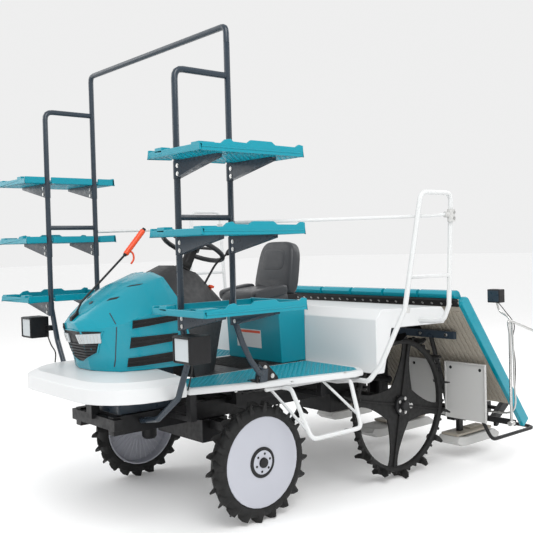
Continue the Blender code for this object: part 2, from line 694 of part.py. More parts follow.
def handrails():
    """Tube rails beside the deck, each with the bar that runs forward to the rack."""
    for side, s in SIDES:
        top = RAIL_TOP - RAIL_R
        hoop = [(0.760, 0.625, 0.700), (0.880, 0.605, 0.705), (0.945, 0.640, 0.800), (1.045, 0.735, 1.110),
                (RAIL_X, 0.815, top), (RAIL_X, 1.085, top), (1.075, 1.095, 1.110), (1.035, 1.095, 1.022),
                (0.950, 1.095, 1.010), (DECK_X + SEAT_GAP, 1.095, 1.010)]
        foot = [(0.500, 0.620, 0.675), (0.62, 0.620, 0.675), (0.79, 0.622, 0.702)]
        shapes = [mirrored(pipe(bent(hoop, 0.05), RAIL_R), s),
                  mirrored(rod((1.063, 0.757, 1.288), (1.085, 1.092, 1.288), 0.011), s),
                  mirrored(pipe(foot, RAIL_R - 0.001), s)]
        solid(f"handrail_{side}", "white", shapes)
        bar = [(1.100, 1.058, 1.640), (1.058, 0.960, 1.632), (POST_X + 0.0044, POST_REAR_Y + 0.0162, 1.605)]
        solid(f"handrail_bar_{side}", "white", [mirrored(pipe(bar, 0.010), s)])


# ---------------------------------------------------------------- seedling rack
def arm_shapes(y):
    """Tapered arms under each tray, out of one post."""
    shapes = []
    for level in TRAY_Z.values():
        z = level - SEAT_GAP
        outline = [(POST_X, z), (ARM_END_X, z), (ARM_END_X, z - ARM_TIP), (POST_X + POST_R, z - ARM_DROP),
                   (POST_X, z - ARM_DROP)]
        shapes.append(prism("y", y - ARM_T / 2, y + ARM_T / 2, outline))
    return shapes


def rack():
    """Two ladders of posts, one arch over the machine, and three trays a side."""
    for side, s in SIDES:
        corner = LADDER_TOP - POST_R
        front = [(FRAME_X + FRAME_BEAM_W / 2 + 0.004, -0.475, 0.560), (0.420, -0.500, 0.600),
                 (0.615, -0.500, 0.735), (POST_X, -0.505, 0.930), (POST_X, POST_FRONT_Y, 1.150),
                 (POST_X, POST_FRONT_Y, corner),
                 (POST_X, POST_REAR_Y - POST_R - SEAT_GAP, corner)]
        shapes = [pipe(bent(front, 0.05), POST_R),
                  rod((POST_X, POST_FRONT_Y, RUNG_Z), (POST_X, POST_REAR_Y - POST_R - SEAT_GAP, RUNG_Z),
                      0.014)]
        solid(f"rack_front_post_{side}", "slate",
              [mirrored(shape, s) for shape in shapes + arm_shapes(POST_FRONT_Y)])
        rear = [(0.680, -0.015, 0.795), (0.712, -0.110, 0.890), (POST_X, -0.165, 0.985),
                (POST_X, POST_REAR_Y, 1.120), (POST_X, POST_REAR_Y, RACK_TOP - 0.10)]
        foot = prism("y", -0.030, 0.020, [(0.640, FLOOR_TOP + SEAT_GAP), (0.690, FLOOR_TOP + SEAT_GAP),
                                          (0.700, 0.830), (0.660, 0.830)])
        solid(f"rack_rear_post_{side}", "slate",
              [mirrored(shape, s) for shape in [pipe(bent(rear, 0.05), POST_R), foot]
               + arm_shapes(POST_REAR_Y)])
        for level, z in TRAY_Z.items():
            tray(f"tray_{level}_{side}", s, z)
    joint = RACK_TOP - 0.10 + SEAT_GAP
    top = RACK_TOP - POST_R
    arch = [(-POST_X, POST_REAR_Y, joint), (-POST_X, POST_REAR_Y, top), (POST_X, POST_REAR_Y, top),
            (POST_X, POST_REAR_Y, joint)]
    solid("rack_crossbar", "slate", [pipe(bent(arch, 0.06), POST_R)])


def tray(name, s, z):
    """Shallow tray outboard of the posts, with a notch for each post in its inner rim."""
    t = TRAY_WALL
    (x0, x1), (y0, y1) = TRAY_X, TRAY_Y
    hole = POST_R + 0.004
    outer = box((x0, x1), (y0, y1), (z, z + TRAY_H))
    humps = [box((x1 - t, x1), (-0.36, -0.22), (z + TRAY_H - 0.002, z + TRAY_H + 0.018)),
             box((x0, x0 + t), (-0.36, -0.26), (z + TRAY_H - 0.002, z + TRAY_H + 0.018))]
    cuts = [box((x0 + t, x1 - t), (y0 + t, y1 - t), (z + t, z + TRAY_H + 0.05)),
            box((x0 - hole, POST_X + hole), (POST_FRONT_Y - hole, POST_FRONT_Y + hole),
                (z - 0.01, z + TRAY_H + 0.02)),
            box((x0 - hole, POST_X + hole), (POST_REAR_Y - hole, POST_REAR_Y + hole),
                (z - 0.01, z + TRAY_H + 0.02))]
    solid(name, "teal", [mirrored(shape, s) for shape in [outer] + humps], [mirrored(cut, s) for cut in cuts])


def lamps():
    for side, s in SIDES:
        shapes = [box((0.796, 0.933), (-0.638, -0.523), (0.945, 1.075)),
                  box((POST_X + POST_R + SEAT_GAP, 0.800), (-0.550, -0.505), (0.990, 1.020))]
        solid(f"front_lamp_{side}", "black", [mirrored(shape, s) for shape in shapes])


# ---------------------------------------------------------------- lift linkage
def along_link(pivot):
    return (pivot[0] + LINK_LENGTH * math.cos(LINK_SLOPE), pivot[1] + LINK_LENGTH * math.sin(LINK_SLOPE))


def eye(y, z, width, radius):
    return turned("x", (y, z), [(-width, radius), (width, radius)], 16)


def links():
    """Lower pair and upper link, each with its pins at both ends."""
    (y0, z0), (y1, z1) = LOWER_LINK, along_link(LOWER_LINK)
    shapes = []
    for _, s in SIDES:
        shapes.append(rod((s * LINK_X, y0, z0), (s * LINK_X, y1, z1), LINK_R, 10))
        for y, z in ((y0, z0), (y1, z1)):
            shapes.append(turned("x", (y, z), [(s * (LINK_X - 0.014), 0.026),
                                               (s * (LINK_X + 0.014), 0.026)], 16))
    for y, z in ((y0, z0), (y1, z1)):
        shapes.append(turned("x", (y, z), [(-LINK_X - 0.02, PIN_R), (LINK_X + 0.02, PIN_R)], 12))
    solid("lower_link", "black", shapes, pivot=(0, y0, z0))
    (y0, z0), (y1, z1) = UPPER_LINK, along_link(UPPER_LINK)
    shapes = [rod((0, y0, z0), (0, y1, z1), LINK_R, 10), eye(y0, z0, 0.030, 0.026),
              turned("x", (y0, z0), [(-0.075, PIN_R), (0.075, PIN_R)], 12),
              eye(y1, z1, 0.030, 0.024)]
    bore = PIN_R + 0.003
    solid("upper_link", "black", shapes, [turned("x", (y1, z1), [(-0.05, bore), (0.05, bore)], 12)],
          pivot=(0, y0, z0))


# ---------------------------------------------------------------- planting unit
def planter_frame():
    """Toolbar, link mast, planting cases, table supports, float hangers and guard pipes."""
    half = TOOLBAR_SIZE / 2
    shapes = [box((-TOOLBAR_X, TOOLBAR_X), (TOOLBAR_Y - half, TOOLBAR_Y + half),
                  (TOOLBAR_Z - half, TOOLBAR_Z + half))]
    low_end, high_end = along_link(LOWER_LINK), along_link(UPPER_LINK)
    for _, s in SIDES:
        shapes.append(box(sorted((s * 0.045, s * 0.070)), (low_end[0] - 0.028, low_end[0] + 0.035),
                          (TOOLBAR_Z, high_end[1] + 0.028)))
    shapes.append(box((-0.070, 0.070), (low_end[0] + 0.030, low_end[0] + 0.042),
                      (TOOLBAR_Z, high_end[1])))
    shapes.append(turned("x", high_end, [(-0.06, PIN_R), (0.06, PIN_R)], 12))
    for x in CASE_X:
        shapes.append(box((x - CASE_W / 2, x + CASE_W / 2), (TOOLBAR_Y, ROTOR_Y + 0.035),
                          (ROTOR_Z - CASE_H / 2, ROTOR_Z + CASE_H / 2)))
        shapes.append(box((x - 0.015, x + 0.015), (1.80, 1.84),
                          (FLOAT_BOTTOM + FLOAT_H + SEAT_GAP, ROTOR_Z)))
    # Supports for the table's rail.
    for _, s in SIDES:
        x = s * TABLE_STAY_X
        path = [(x, TOOLBAR_Y, TOOLBAR_Z), (x, TOOLBAR_Y - 0.05, 0.50), (x, *RAIL_PLACE)]
        shapes.append(pipe(path, 0.016, 8))
        guard = [(s * (TOOLBAR_X - 0.03), TOOLBAR_Y, TOOLBAR_Z - 0.02),
                 (s * (TOOLBAR_X + 0.02), TOOLBAR_Y + 0.04, GUARD_Z),
                 (s * (TOOLBAR_X + 0.02), REAR_END - GUARD_R, GUARD_Z),
                 (s * 0.36, REAR_END - GUARD_R, GUARD_Z),
                 (s * 0.36, 2.19, GUARD_Z)]
        shapes.append(pipe(bent(guard, 0.06), GUARD_R, 8))
        shapes.append(box(sorted((s * (TOOLBAR_X - 0.02), s * (MARKER_X + 0.012))),
                          (MARKER_Y + 0.020 + PIN_GAP, MARKER_Y + 0.034),
                          (TOOLBAR_Z - 0.018, TOOLBAR_Z + 0.018)))
    shapes.append(turned("x", RAIL_PLACE, [(-0.75, TABLE_RAIL_R), (0.75, TABLE_RAIL_R)], 12))
    bore = SHAFT_R + PIN_GAP
    cuts = [turned("x", (ROTOR_Y, ROTOR_Z), [(x - 0.06, bore), (x + 0.06, bore)], 12) for x in CASE_X]
    pin_bore = PIN_R + PIN_GAP
    cuts.append(turned("x", low_end, [(-0.09, pin_bore), (0.09, pin_bore)], 12))
    solid("planter_frame", "black", shapes, cuts, pivot=(0, low_end[0], low_end[1]))


def table_point(along, lift):
    """y and z of a point down the table's slope and proud of its face."""
    y = TABLE_TOP[0] + along * math.cos(TABLE_ANGLE) + lift * math.sin(TABLE_ANGLE)
    z = TABLE_TOP[1] - along * math.sin(TABLE_ANGLE) + lift * math.cos(TABLE_ANGLE)
    return y, z


SHOE_H = 0.010
RAIL_PLACE = table_point(0.25, -TABLE_T - SHOE_H - TABLE_RAIL_R - SEAT_GAP)


def seedling_table():
    """Sloping table with raised dividers between its six rows and a frame at each side."""
    plate = [table_point(a, h) for a, h in ((0, 0), (0, -TABLE_T), (TABLE_LENGTH, -TABLE_T),
                                            (TABLE_LENGTH, 0))]
    shapes = [prism("x", -TABLE_FRAME_X[0] - 0.005, TABLE_FRAME_X[0] + 0.005, plate)]
    frame = [table_point(a, h) for a, h in
             ((-0.010, 0.035), (-0.010, 0.035 - TABLE_FRAME_H), (TABLE_FRAME_LENGTH, 0.035 - TABLE_FRAME_H),
              (TABLE_FRAME_LENGTH, 0.035))]
    for _, s in SIDES:
        shapes.append(prism("x", *sorted((s * TABLE_FRAME_X[0], s * TABLE_FRAME_X[1])), frame))
    fin = [table_point(a, h) for a, h in ((0.02, 0.022), (0.02, -0.01), (0.85, -0.01), (0.85, 0.022))]
    for row in range(1, TABLE_ROWS):
        x = (row - TABLE_ROWS / 2) * ROW_PITCH
        shapes.append(prism("x", x - 0.010, x + 0.010, fin))
    cap = [table_point(a, h) for a, h in ((-0.045, 0.030), (-0.045, -0.030), (0.030, -0.030), (0.030, 0.030))]
    shapes.append(prism("x", -TABLE_FRAME_X[0], TABLE_FRAME_X[0], cap))
    # Two shoes ride on the rail.
    shoe = [table_point(a, h) for a, h in ((0.22, -TABLE_T + 0.002), (0.22, -TABLE_T - SHOE_H),
                                           (0.28, -TABLE_T - SHOE_H), (0.28, -TABLE_T + 0.002))]
    shapes.append(prism("x", -0.50, 0.50, shoe))
    solid("seedling_table", "teal", shapes, pivot=(0, *table_point(0, 0)))


def rotors():
    """Planting arms, a pair on each shaft."""
    for index, x in enumerate(CASE_X):
        shapes = [turned("x", (ROTOR_Y, ROTOR_Z), [(x - ROTOR_ARM_X, SHAFT_R), (x + ROTOR_ARM_X, SHAFT_R)],
                         12)]
        for s in (-1, 1):
            at = x + s * ROTOR_ARM_X
            reach = ROTOR_R - 0.030
            turn = math.radians(35)
            c, d = math.cos(turn), math.sin(turn)
            corners = ((-reach, -0.028), (reach, -0.028), (reach, 0.028), (-reach, 0.028))
            outline = [(ROTOR_Y + u * c - v * d, ROTOR_Z + u * d + v * c) for u, v in corners]
            shapes.append(prism("x", at - 0.018, at + 0.018, outline))
            for flip in (-1, 1):
                claw = ((0.050, 0.010), (0.095, 0.010), (0.122, 0.052), (0.100, 0.062), (0.050, 0.045))
                outline = [(ROTOR_Y + flip * (u * c - v * d), ROTOR_Z + flip * (u * d + v * c)) for u,
                           v in claw]
                shapes.append(prism("x", at - 0.012, at + 0.012, outline))
        solid(f"planting_rotor_{index + 1}", "black", shapes, pivot=(x, ROTOR_Y, ROTOR_Z))


FLOATS = (  # name, middle, half width, front end; the side floats lie behind the wheels
    ("float_centre", 0.0, 0.105, 1.47),
    ("float_left", 0.60, 0.085, 1.68),
    ("float_right", -0.60, 0.085, 1.68),
)


def floats():
    """Shallow sledges under the unit: one in the middle and one at each side."""
    z0, z1 = FLOAT_BOTTOM, FLOAT_BOTTOM + FLOAT_H
    rear = 2.17
    for name, x, half, front in FLOATS:
        outline = [(front, z0 + 0.040), (front + 0.05, z0 + 0.005), (front + 0.11, z0), (rear - 0.01, z0),
                   (rear, z0 + 0.03), (rear - 0.05, z1), (front + 0.11, z1), (front + 0.03, z1 + 0.010)]
        solid(name, "grey", [prism("x", x - half, x + half, outline)])


def mud_guards():
    """Grey plates ahead of the toolbar, two a side on one rail."""
    y = TOOLBAR_Y - TOOLBAR_SIZE / 2 - SEAT_GAP
    for side, s in SIDES:
        shapes = [box(sorted((s * 0.29, s * 0.85)), (y - 0.020, y), (TOOLBAR_Z - 0.02, TOOLBAR_Z + 0.02))]
        for x0, x1 in ((0.30, 0.565), (0.61, 0.93)):
            shapes.append(box(sorted((s * x0, s * x1)), (y - 0.026, y - 0.018), (0.300, 0.680)))
        solid(f"mud_guard_{side}", "grey", shapes)


def side_markers():
    """Folding line markers beside the table."""
    for side, s in SIDES:
        base = TOOLBAR_Z
        shapes = [turned("y", (MARKER_X, base), [(MARKER_Y - 0.02, MARKER_HUB_R),
                                                 (MARKER_Y + 0.02, MARKER_HUB_R)], 12),
                  pipe(bent([(MARKER_X, MARKER_Y, base), (MARKER_X, MARKER_Y, 0.900),
                             (MARKER_X, MARKER_Y - 0.02, 0.985), (MARKER_X, MARKER_Y + 0.30, 0.880)], 0.02),
                       MARKER_R, 8)]
        solid(f"side_marker_{side}", "steel", [mirrored(shape, s) for shape in shapes],
              pivot=(s * MARKER_X, MARKER_Y, base))


def main():
    clear_scene()
    for build in (front_wheels, rear_wheels, knuckles, front_axle, rear_axle, main_frame, engine, front_cowl,
                  floor_and_steps, foot_steps, bonnet, centre_marker, dash_cover, steering, seat_and_base,
                  rear_deck, deck_stays, handrails, rack, lamps, links, planter_frame, seedling_table,
                  rotors, floats, mud_guards, side_markers):
        build()


main()
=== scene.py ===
"""Looks of a riding rice transplanter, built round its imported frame.

Each sub-assembly is a class that holds its sizes, builds its pieces and dresses them. Lengths
are metres, +Z is up, the machine faces -Y and its left side is +X. Places measured along the
machine are given from the front axle, and Axle.at moves them into the frame.
"""

import json
import logging
import math
from dataclasses import dataclass, field
from enum import Enum

import bmesh
import bpy
from mathutils import Matrix, Vector
from mathutils.bvhtree import BVHTree


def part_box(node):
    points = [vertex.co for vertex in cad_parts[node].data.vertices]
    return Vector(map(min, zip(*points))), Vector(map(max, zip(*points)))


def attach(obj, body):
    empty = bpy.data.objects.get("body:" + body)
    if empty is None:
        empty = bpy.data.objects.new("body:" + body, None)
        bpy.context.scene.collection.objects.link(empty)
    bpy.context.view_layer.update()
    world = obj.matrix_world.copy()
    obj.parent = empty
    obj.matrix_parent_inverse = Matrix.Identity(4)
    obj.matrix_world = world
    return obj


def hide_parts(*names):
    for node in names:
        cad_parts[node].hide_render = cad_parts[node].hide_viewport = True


LOG = logging.getLogger("transplanter")
Point = tuple[float, float, float]
Shape = tuple[list[Vector | Point], list[tuple[int, ...]]]
SIDES = (("left", 1), ("right", -1))
with open("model.json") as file:
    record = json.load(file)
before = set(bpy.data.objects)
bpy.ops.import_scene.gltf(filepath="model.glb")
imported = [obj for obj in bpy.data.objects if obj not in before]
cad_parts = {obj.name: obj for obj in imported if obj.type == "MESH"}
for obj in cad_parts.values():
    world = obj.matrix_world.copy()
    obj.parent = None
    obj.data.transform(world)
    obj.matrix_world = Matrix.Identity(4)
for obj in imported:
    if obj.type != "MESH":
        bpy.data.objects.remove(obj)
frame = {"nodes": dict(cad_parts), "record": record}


def write_size() -> None:
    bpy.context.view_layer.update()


write_size()


# ---------------------------------------------------------------- finishes
class Grain(Enum):
    """Fine relief of a surface."""

    SMOOTH = "smooth"
    MOULDED = "moulded"
    POWDER = "powder"
    CAST = "cast"
    VINYL = "vinyl"
    RUBBER = "rubber"


GRAINS = {  # feature size per metre, bump strength, bump distance in metres
    Grain.SMOOTH: (5.0, 0.02, 0.0005),
    Grain.MOULDED: (420.0, 0.18, 0.0004),
    Grain.POWDER: (700.0, 0.14, 0.0003),
    Grain.CAST: (260.0, 0.35, 0.0008),
    Grain.VINYL: (520.0, 0.40, 0.0006),
    Grain.RUBBER: (180.0, 0.35, 0.0008),
}


@dataclass(frozen=True)
class Finish:
    """A painted, moulded or metal surface.

    Attributes:
        name: the material's name.
        colour: its linear base colour.
        shade: the colour of its worn or dusty patches.
        roughness: lowest and highest roughness over the surface.
        grain: fine relief.
        metallic: metallic value.
        coat: clear coat weight.
        dirt: how much of the shade shows, from 0 to 1.
        see_through: transmission weight.
    """

    name: str
    colour: Point
    shade: Point
    roughness: tuple[float, float] = (0.35, 0.5)
    grain: Grain = Grain.MOULDED
    metallic: float = 0.0
    coat: float = 0.0
    dirt: float = 0.25
    see_through: float = 0.0

    def build(self) -> bpy.types.Material:
        """Makes the material once, and returns it after that.

        Returns:
            The material.
        """
        made = bpy.data.materials.get(self.name)
        if made:
            return made
        made = bpy.data.materials.new(self.name)
        made.use_nodes = True
        made.diffuse_color = (*self.colour, 1)
        nodes, links = made.node_tree.nodes, made.node_tree.links
        shader = nodes["Principled BSDF"]
        shader.inputs["Metallic"].default_value = self.metallic
        shader.inputs["Specular IOR Level"].default_value = 0.30
        shader.inputs["Coat Weight"].default_value = self.coat
        shader.inputs["Coat Roughness"].default_value = 0.12
        shader.inputs["Transmission Weight"].default_value = self.see_through
        place = nodes.new("ShaderNodeTexCoord").outputs["Object"]
        cloud = self._noise(made, place, 3.2, 5.0)
        patches = nodes.new("ShaderNodeMapRange")
        patches.inputs["From Min"].default_value = 0.50
        patches.inputs["From Max"].default_value = 0.78
        patches.inputs["To Max"].default_value = self.dirt
        links.new(cloud, patches.inputs["Value"])
        mix = nodes.new("ShaderNodeMix")
        mix.data_type = "RGBA"
        mix.inputs["A"].default_value = (*self.colour, 1)
        mix.inputs["B"].default_value = (*self.shade, 1)
        links.new(patches.outputs["Result"], mix.inputs["Factor"])
        links.new(mix.outputs["Result"], shader.inputs["Base Color"])
        scratch = self._noise(made, place, 34.0, 3.0)
        rough = nodes.new("ShaderNodeMapRange")
        rough.inputs["From Min"].default_value = 0.35
        rough.inputs["From Max"].default_value = 0.65
        rough.inputs["To Min"].default_value = self.roughness[0]
        rough.inputs["To Max"].default_value = self.roughness[1]
        links.new(scratch, rough.inputs["Value"])
        links.new(rough.outputs["Result"], shader.inputs["Roughness"])
        size, strength, distance = GRAINS[self.grain]
        bump = nodes.new("ShaderNodeBump")
        bump.inputs["Strength"].default_value = strength
        bump.inputs["Distance"].default_value = distance
        links.new(self._noise(made, place, size, 2.0), bump.inputs["Height"])
        links.new(bump.outputs["Normal"], shader.inputs["Normal"])
        return made

    @staticmethod
    def _noise(made: bpy.types.Material, place: bpy.types.NodeSocket, scale: float,
               detail: float) -> bpy.types.NodeSocket:
        """Adds a noise texture.

        Args:
            made: the material it goes into.
            place: the coordinates it reads.
            scale: features per metre.
            detail: octaves of finer noise.

        Returns:
            The socket with the noise value.
        """
        noise = made.node_tree.nodes.new("ShaderNodeTexNoise")
        noise.inputs["Scale"].default_value = scale
        noise.inputs["Detail"].default_value = detail
        made.node_tree.links.new(place, noise.inputs["Vector"])
        return noise.outputs["Fac"]


TEAL = Finish("teal gloss", (0.0, 0.255, 0.335), (0.002, 0.235, 0.310), (0.20, 0.27), Grain.SMOOTH,
              coat=0.25, dirt=0.10)
TEAL_MOULDED = Finish("teal moulded", (0.0, 0.240, 0.315), (0.002, 0.215, 0.285), (0.34, 0.46), coat=0.15,
                      dirt=0.15)
WHITE = Finish("white gloss", (0.66, 0.67, 0.675), (0.62, 0.62, 0.61), (0.30, 0.34), Grain.SMOOTH,
               coat=0.15, dirt=0.10)
WHITE_TUBE = Finish("white powder", (0.64, 0.65, 0.65), (0.58, 0.58, 0.56), (0.28, 0.40), Grain.POWDER,
                    dirt=0.10)
SLATE = Finish("slate tube", (0.022, 0.034, 0.048), (0.040, 0.048, 0.058), (0.26, 0.40), Grain.POWDER,
               coat=0.2)
BLACK = Finish("black paint", (0.009, 0.009, 0.010), (0.030, 0.028, 0.025), (0.34, 0.54), Grain.CAST)
CHARCOAL = Finish("charcoal plastic", (0.024, 0.025, 0.027), (0.040, 0.040, 0.040), (0.42, 0.58), dirt=0.15)
GREY = Finish("grey plastic", (0.50, 0.50, 0.49), (0.42, 0.41, 0.38), (0.42, 0.60), dirt=0.20)
BEIGE = Finish("beige plastic", (0.34, 0.31, 0.26), (0.26, 0.24, 0.20), (0.45, 0.60), dirt=0.20)
RUBBER = Finish("black rubber", (0.010, 0.010, 0.010), (0.024, 0.022, 0.020), (0.52, 0.72), Grain.RUBBER)
STEEL = Finish("zinc steel", (0.56, 0.56, 0.55), (0.40, 0.39, 0.37), (0.24, 0.40), Grain.POWDER,
               metallic=0.95)
RED = Finish("orange red", (0.70, 0.070, 0.016), (0.55, 0.06, 0.02), (0.28, 0.40), coat=0.2, dirt=0.10)
DISC = Finish("pale disc", (0.46, 0.47, 0.52), (0.40, 0.41, 0.44), (0.30, 0.42), dirt=0.12)
VINYL = Finish("grey vinyl", (0.034, 0.036, 0.040), (0.050, 0.051, 0.055), (0.32, 0.46), Grain.VINYL,
               coat=0.1, dirt=0.15)
LENS = Finish("frosted lens", (0.46, 0.50, 0.52), (0.42, 0.46, 0.48), (0.10, 0.24), Grain.SMOOTH, coat=0.7,
              dirt=0.05)

NODE_FINISHES = (  # start of a node's name, its finish, rounding of its edges
    ("front_tyre", RUBBER, 0.006), ("rear_wheel", RUBBER, 0.003), ("front_disc", DISC, 0.002),
    ("tray", TEAL_MOULDED, 0.003), ("step_", WHITE, 0.010), ("bonnet", TEAL, 0.008),
    ("seat_base", TEAL_MOULDED, 0.006), ("seedling_table", TEAL_MOULDED, 0.003),
    ("front_cowl", WHITE, 0.005), ("rear_deck", WHITE, 0.010), ("handrail", WHITE_TUBE, 0.0),
    ("foot_step", WHITE_TUBE, 0.0), ("rack", SLATE, 0.0), ("steering_column", BLACK, 0.0),
    ("seat", VINYL, 0.012),
    ("dash", CHARCOAL, 0.008), ("steering", CHARCOAL, 0.0), ("floor", CHARCOAL, 0.002),
    ("front_lamp", BLACK, 0.004), ("engine", SLATE, 0.004), ("float", GREY, 0.006),
    ("mud_guard", GREY, 0.002), ("side_marker", STEEL, 0.0), ("centre_marker", BLACK, 0.0),
)


# ---------------------------------------------------------------- places and shapes
@dataclass(frozen=True)
class Axle:
    """Where the front axle lies in the frame.

    Attributes:
        y: its place along the machine.
    """

    y: float = sum(corner[1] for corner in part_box("front_tyre_left")) / 2

    def at(self, x: float, y: float, z: float) -> Vector:
        """A place given from the front axle, in the frame."""
        return Vector((x, y + self.y, z))


AXLE = Axle()
REPLACED: set[str] = set()


def body_of(node: str) -> str:
    """Name of the body that a node rides on.

    Args:
        node: the node's name.

    Returns:
        The name in behaviour.bodies.
    """
    bodies = frame["record"]["behaviour"]["bodies"]
    return next(body for body, nodes in bodies.items() if node in nodes)


def mesh_from(name: str, shapes: list[Shape], sharp: float, from_axle: bool = True,
              weld: float = 1e-5) -> bpy.types.Mesh:
    """Makes one mesh out of closed shapes.

    Args:
        name: the mesh's name.
        shapes: the shapes.
        sharp: edges that turn by more than this many degrees stay sharp.
        from_axle: whether the shapes are given from the front axle.
        weld: points nearer than this become one.

    Returns:
        The mesh.
    """
    work = bmesh.new()
    for points, faces in shapes:
        corners = [work.verts.new(AXLE.at(*point) if from_axle else point) for point in points]
        for face in faces:
            if len(set(face)) > 2:
                work.faces.new([corners[i] for i in face])
    bmesh.ops.remove_doubles(work, verts=work.verts, dist=weld)
    if work.faces:
        bmesh.ops.recalc_face_normals(work, faces=work.faces)
    mesh = bpy.data.meshes.new(name)
    work.to_mesh(mesh)
    work.free()
    if mesh.polygons:
        mesh.shade_smooth()
        mesh.set_sharp_from_angle(angle=math.radians(sharp))
    return mesh


def piece(name: str, shapes: list[Shape], finish: Finish, body: str, bevel: float = 0.0,
          sharp: float = 35.0) -> bpy.types.Object:
    """Makes one finished piece at the origin.

    Args:
        name: the piece's name.
        shapes: closed shapes, given from the front axle.
        finish: its finish.
        body: the body it rides on.
        bevel: width of its rounded edges, or 0 for none.
        sharp: edges that turn by more than this many degrees stay sharp.

    Returns:
        The object.
    """
    return dressed(bpy.data.objects.new(name, mesh_from(name, shapes, sharp)), finish, body, bevel)


def dressed(made: bpy.types.Object, finish: Finish, body: str, bevel: float = 0.0) -> bpy.types.Object:
    """Links an object, gives it its finish and rounded edges, and puts it on its body.

    Args:
        made: the object.
        finish: its finish.
        body: the body it rides on.
        bevel: width of its rounded edges, or 0 for none.

    Returns:
        The same object.
    """
    if made.name not in bpy.context.scene.collection.objects:
        bpy.context.scene.collection.objects.link(made)
    made.data.materials.clear()
    made.data.materials.append(finish.build())
    if bevel:
        round_edges = made.modifiers.new("rounded", "BEVEL")
        round_edges.width = bevel
        round_edges.segments = 2
        round_edges.limit_method = "ANGLE"
        round_edges.angle_limit = math.radians(32)
        round_edges.harden_normals = True
        round_edges.use_clamp_overlap = True
    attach(made, body)
    LOG.info("%s on %s", made.name, body)
    return made


def refined(node: str, finish: Finish, bevel: float) -> bpy.types.Object:
    """Replaces a node by a welded copy of itself with rounded edges.

    Args:
        node: the node's name.
        finish: its finish.
        bevel: width of its rounded edges, or 0 for none.

    Returns:
        The copy.
    """
    work = bmesh.new()
    work.from_mesh(frame["nodes"][node].data)
    bmesh.ops.remove_doubles(work, verts=work.verts, dist=2e-5)
    bmesh.ops.dissolve_limit(work, angle_limit=math.radians(1.0), verts=work.verts, edges=work.edges)
    bmesh.ops.recalc_face_normals(work, faces=work.faces)
    mesh = bpy.data.meshes.new(f"{node}_shell")
    work.to_mesh(mesh)
    work.free()
    mesh.shade_smooth()
    mesh.set_sharp_from_angle(angle=math.radians(50 if bevel == 0 else 32))
    made = dressed(bpy.data.objects.new(f"{node}_shell", mesh), finish, body_of(node), bevel)
    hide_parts(node)
    return made


# ---------------------------------------------------------------- shapes, from the front axle
Loop = list[tuple[float, float]]


def loft(sections: list[list[Point]], closed: bool = False) -> Shape:
    """Skins loops of the same number of points.

    Args:
        sections: the loops.
        closed: whether the last loop joins the first, which leaves out the caps.

    Returns:
        Points and faces.
    """
    count, rings = len(sections[0]), len(sections)
    points = [Vector(point) for section in sections for point in section]
    faces: list[tuple[int, ...]] = []
    for row in range(rings if closed else rings - 1):
        a, b = row * count, ((row + 1) % rings) * count
        for i in range(count):
            j = (i + 1) % count
            faces.append((a + i, a + j, b + j, b + i))
    if not closed:
        faces.append(tuple(range(count))[::-1])
        faces.append(tuple(range((rings - 1) * count, rings * count)))
    return points, faces


def prism(axis: str, low: float, high: float, outline: Loop) -> Shape:
    """Pushes an outline along an axis.

    Args:
        axis: x, y or z.
        low: where it starts.
        high: where it ends.
        outline: the two other coordinates of each corner, in order.

    Returns:
        Points and faces.
    """
    def place(along: float, u: float, v: float) -> Point:
        """A corner from its distance along the axis."""
        return {"x": (along, u, v), "y": (u, along, v), "z": (u, v, along)}[axis]

    return loft([[place(at, u, v) for u, v in outline] for at in (low, high)])


def block(x: tuple[float, float], y: tuple[float, float], z: tuple[float, float]) -> Shape:
    """A box from three (low, high) pairs."""
    return prism("z", z[0], z[1], [(x[0], y[0]), (x[1], y[0]), (x[1], y[1]), (x[0], y[1])])


def turned(start: Point, end: Point, profile: Loop, sides: int = 32, closed: bool = False) -> Shape:
    """Turns a profile round the line between two points.

    Args:
        start: where distances along the line are counted from.
        end: a point that gives the line's direction.
        profile: distance along and radius of each point.
        sides: points round.
        closed: whether the profile is a closed outline, which makes a ring.

    Returns:
        Points and faces.
    """
    origin, along = Vector(start), (Vector(end) - Vector(start)).normalized()
    across = along.orthogonal().normalized()
    over = along.cross(across)
    sections = []
    for k in range(sides):
        a = 2 * math.pi * k / sides
        out = across * math.cos(a) + over * math.sin(a)
        sections.append([origin + along * at + out * radius for at, radius in profile])
    if closed:
        return loft(sections, closed=True)
    columns = [[section[i] for section in sections] for i in range(len(profile))]
    return loft(columns)


def tube(path: list[Point], radius: float, sides: int = 12, closed: bool = False) -> Shape:
    """A round bar along a path.

    Args:
        path: its points.
        radius: its radius.
        sides: points round.
        closed: whether the path closes.

    Returns:
        Points and faces.
    """
    line = [Vector(point) for point in path]
    count = len(line)
    normal: Vector | None = None
    rings = []
    for i, point in enumerate(line):
        before = line[i - 1] if i or closed else None
        after = line[(i + 1) % count] if i < count - 1 or closed else None
        into = (point - before).normalized() if before else (after - point).normalized()
        out = (after - point).normalized() if after else into
        middle = (into + out).normalized()
        if normal is None:
            normal = into.orthogonal()
        normal = (normal - into * normal.dot(into)).normalized()
        side = into.cross(normal)
        loop = []
        for k in range(sides):
            a = 2 * math.pi * k / sides
            offset = normal * (radius * math.cos(a)) + side * (radius * math.sin(a))
            loop.append(point + offset - into * (offset.dot(middle) / into.dot(middle)))
        rings.append(loop)
        normal = (normal - out * normal.dot(out)).normalized()
    return loft(rings, closed)


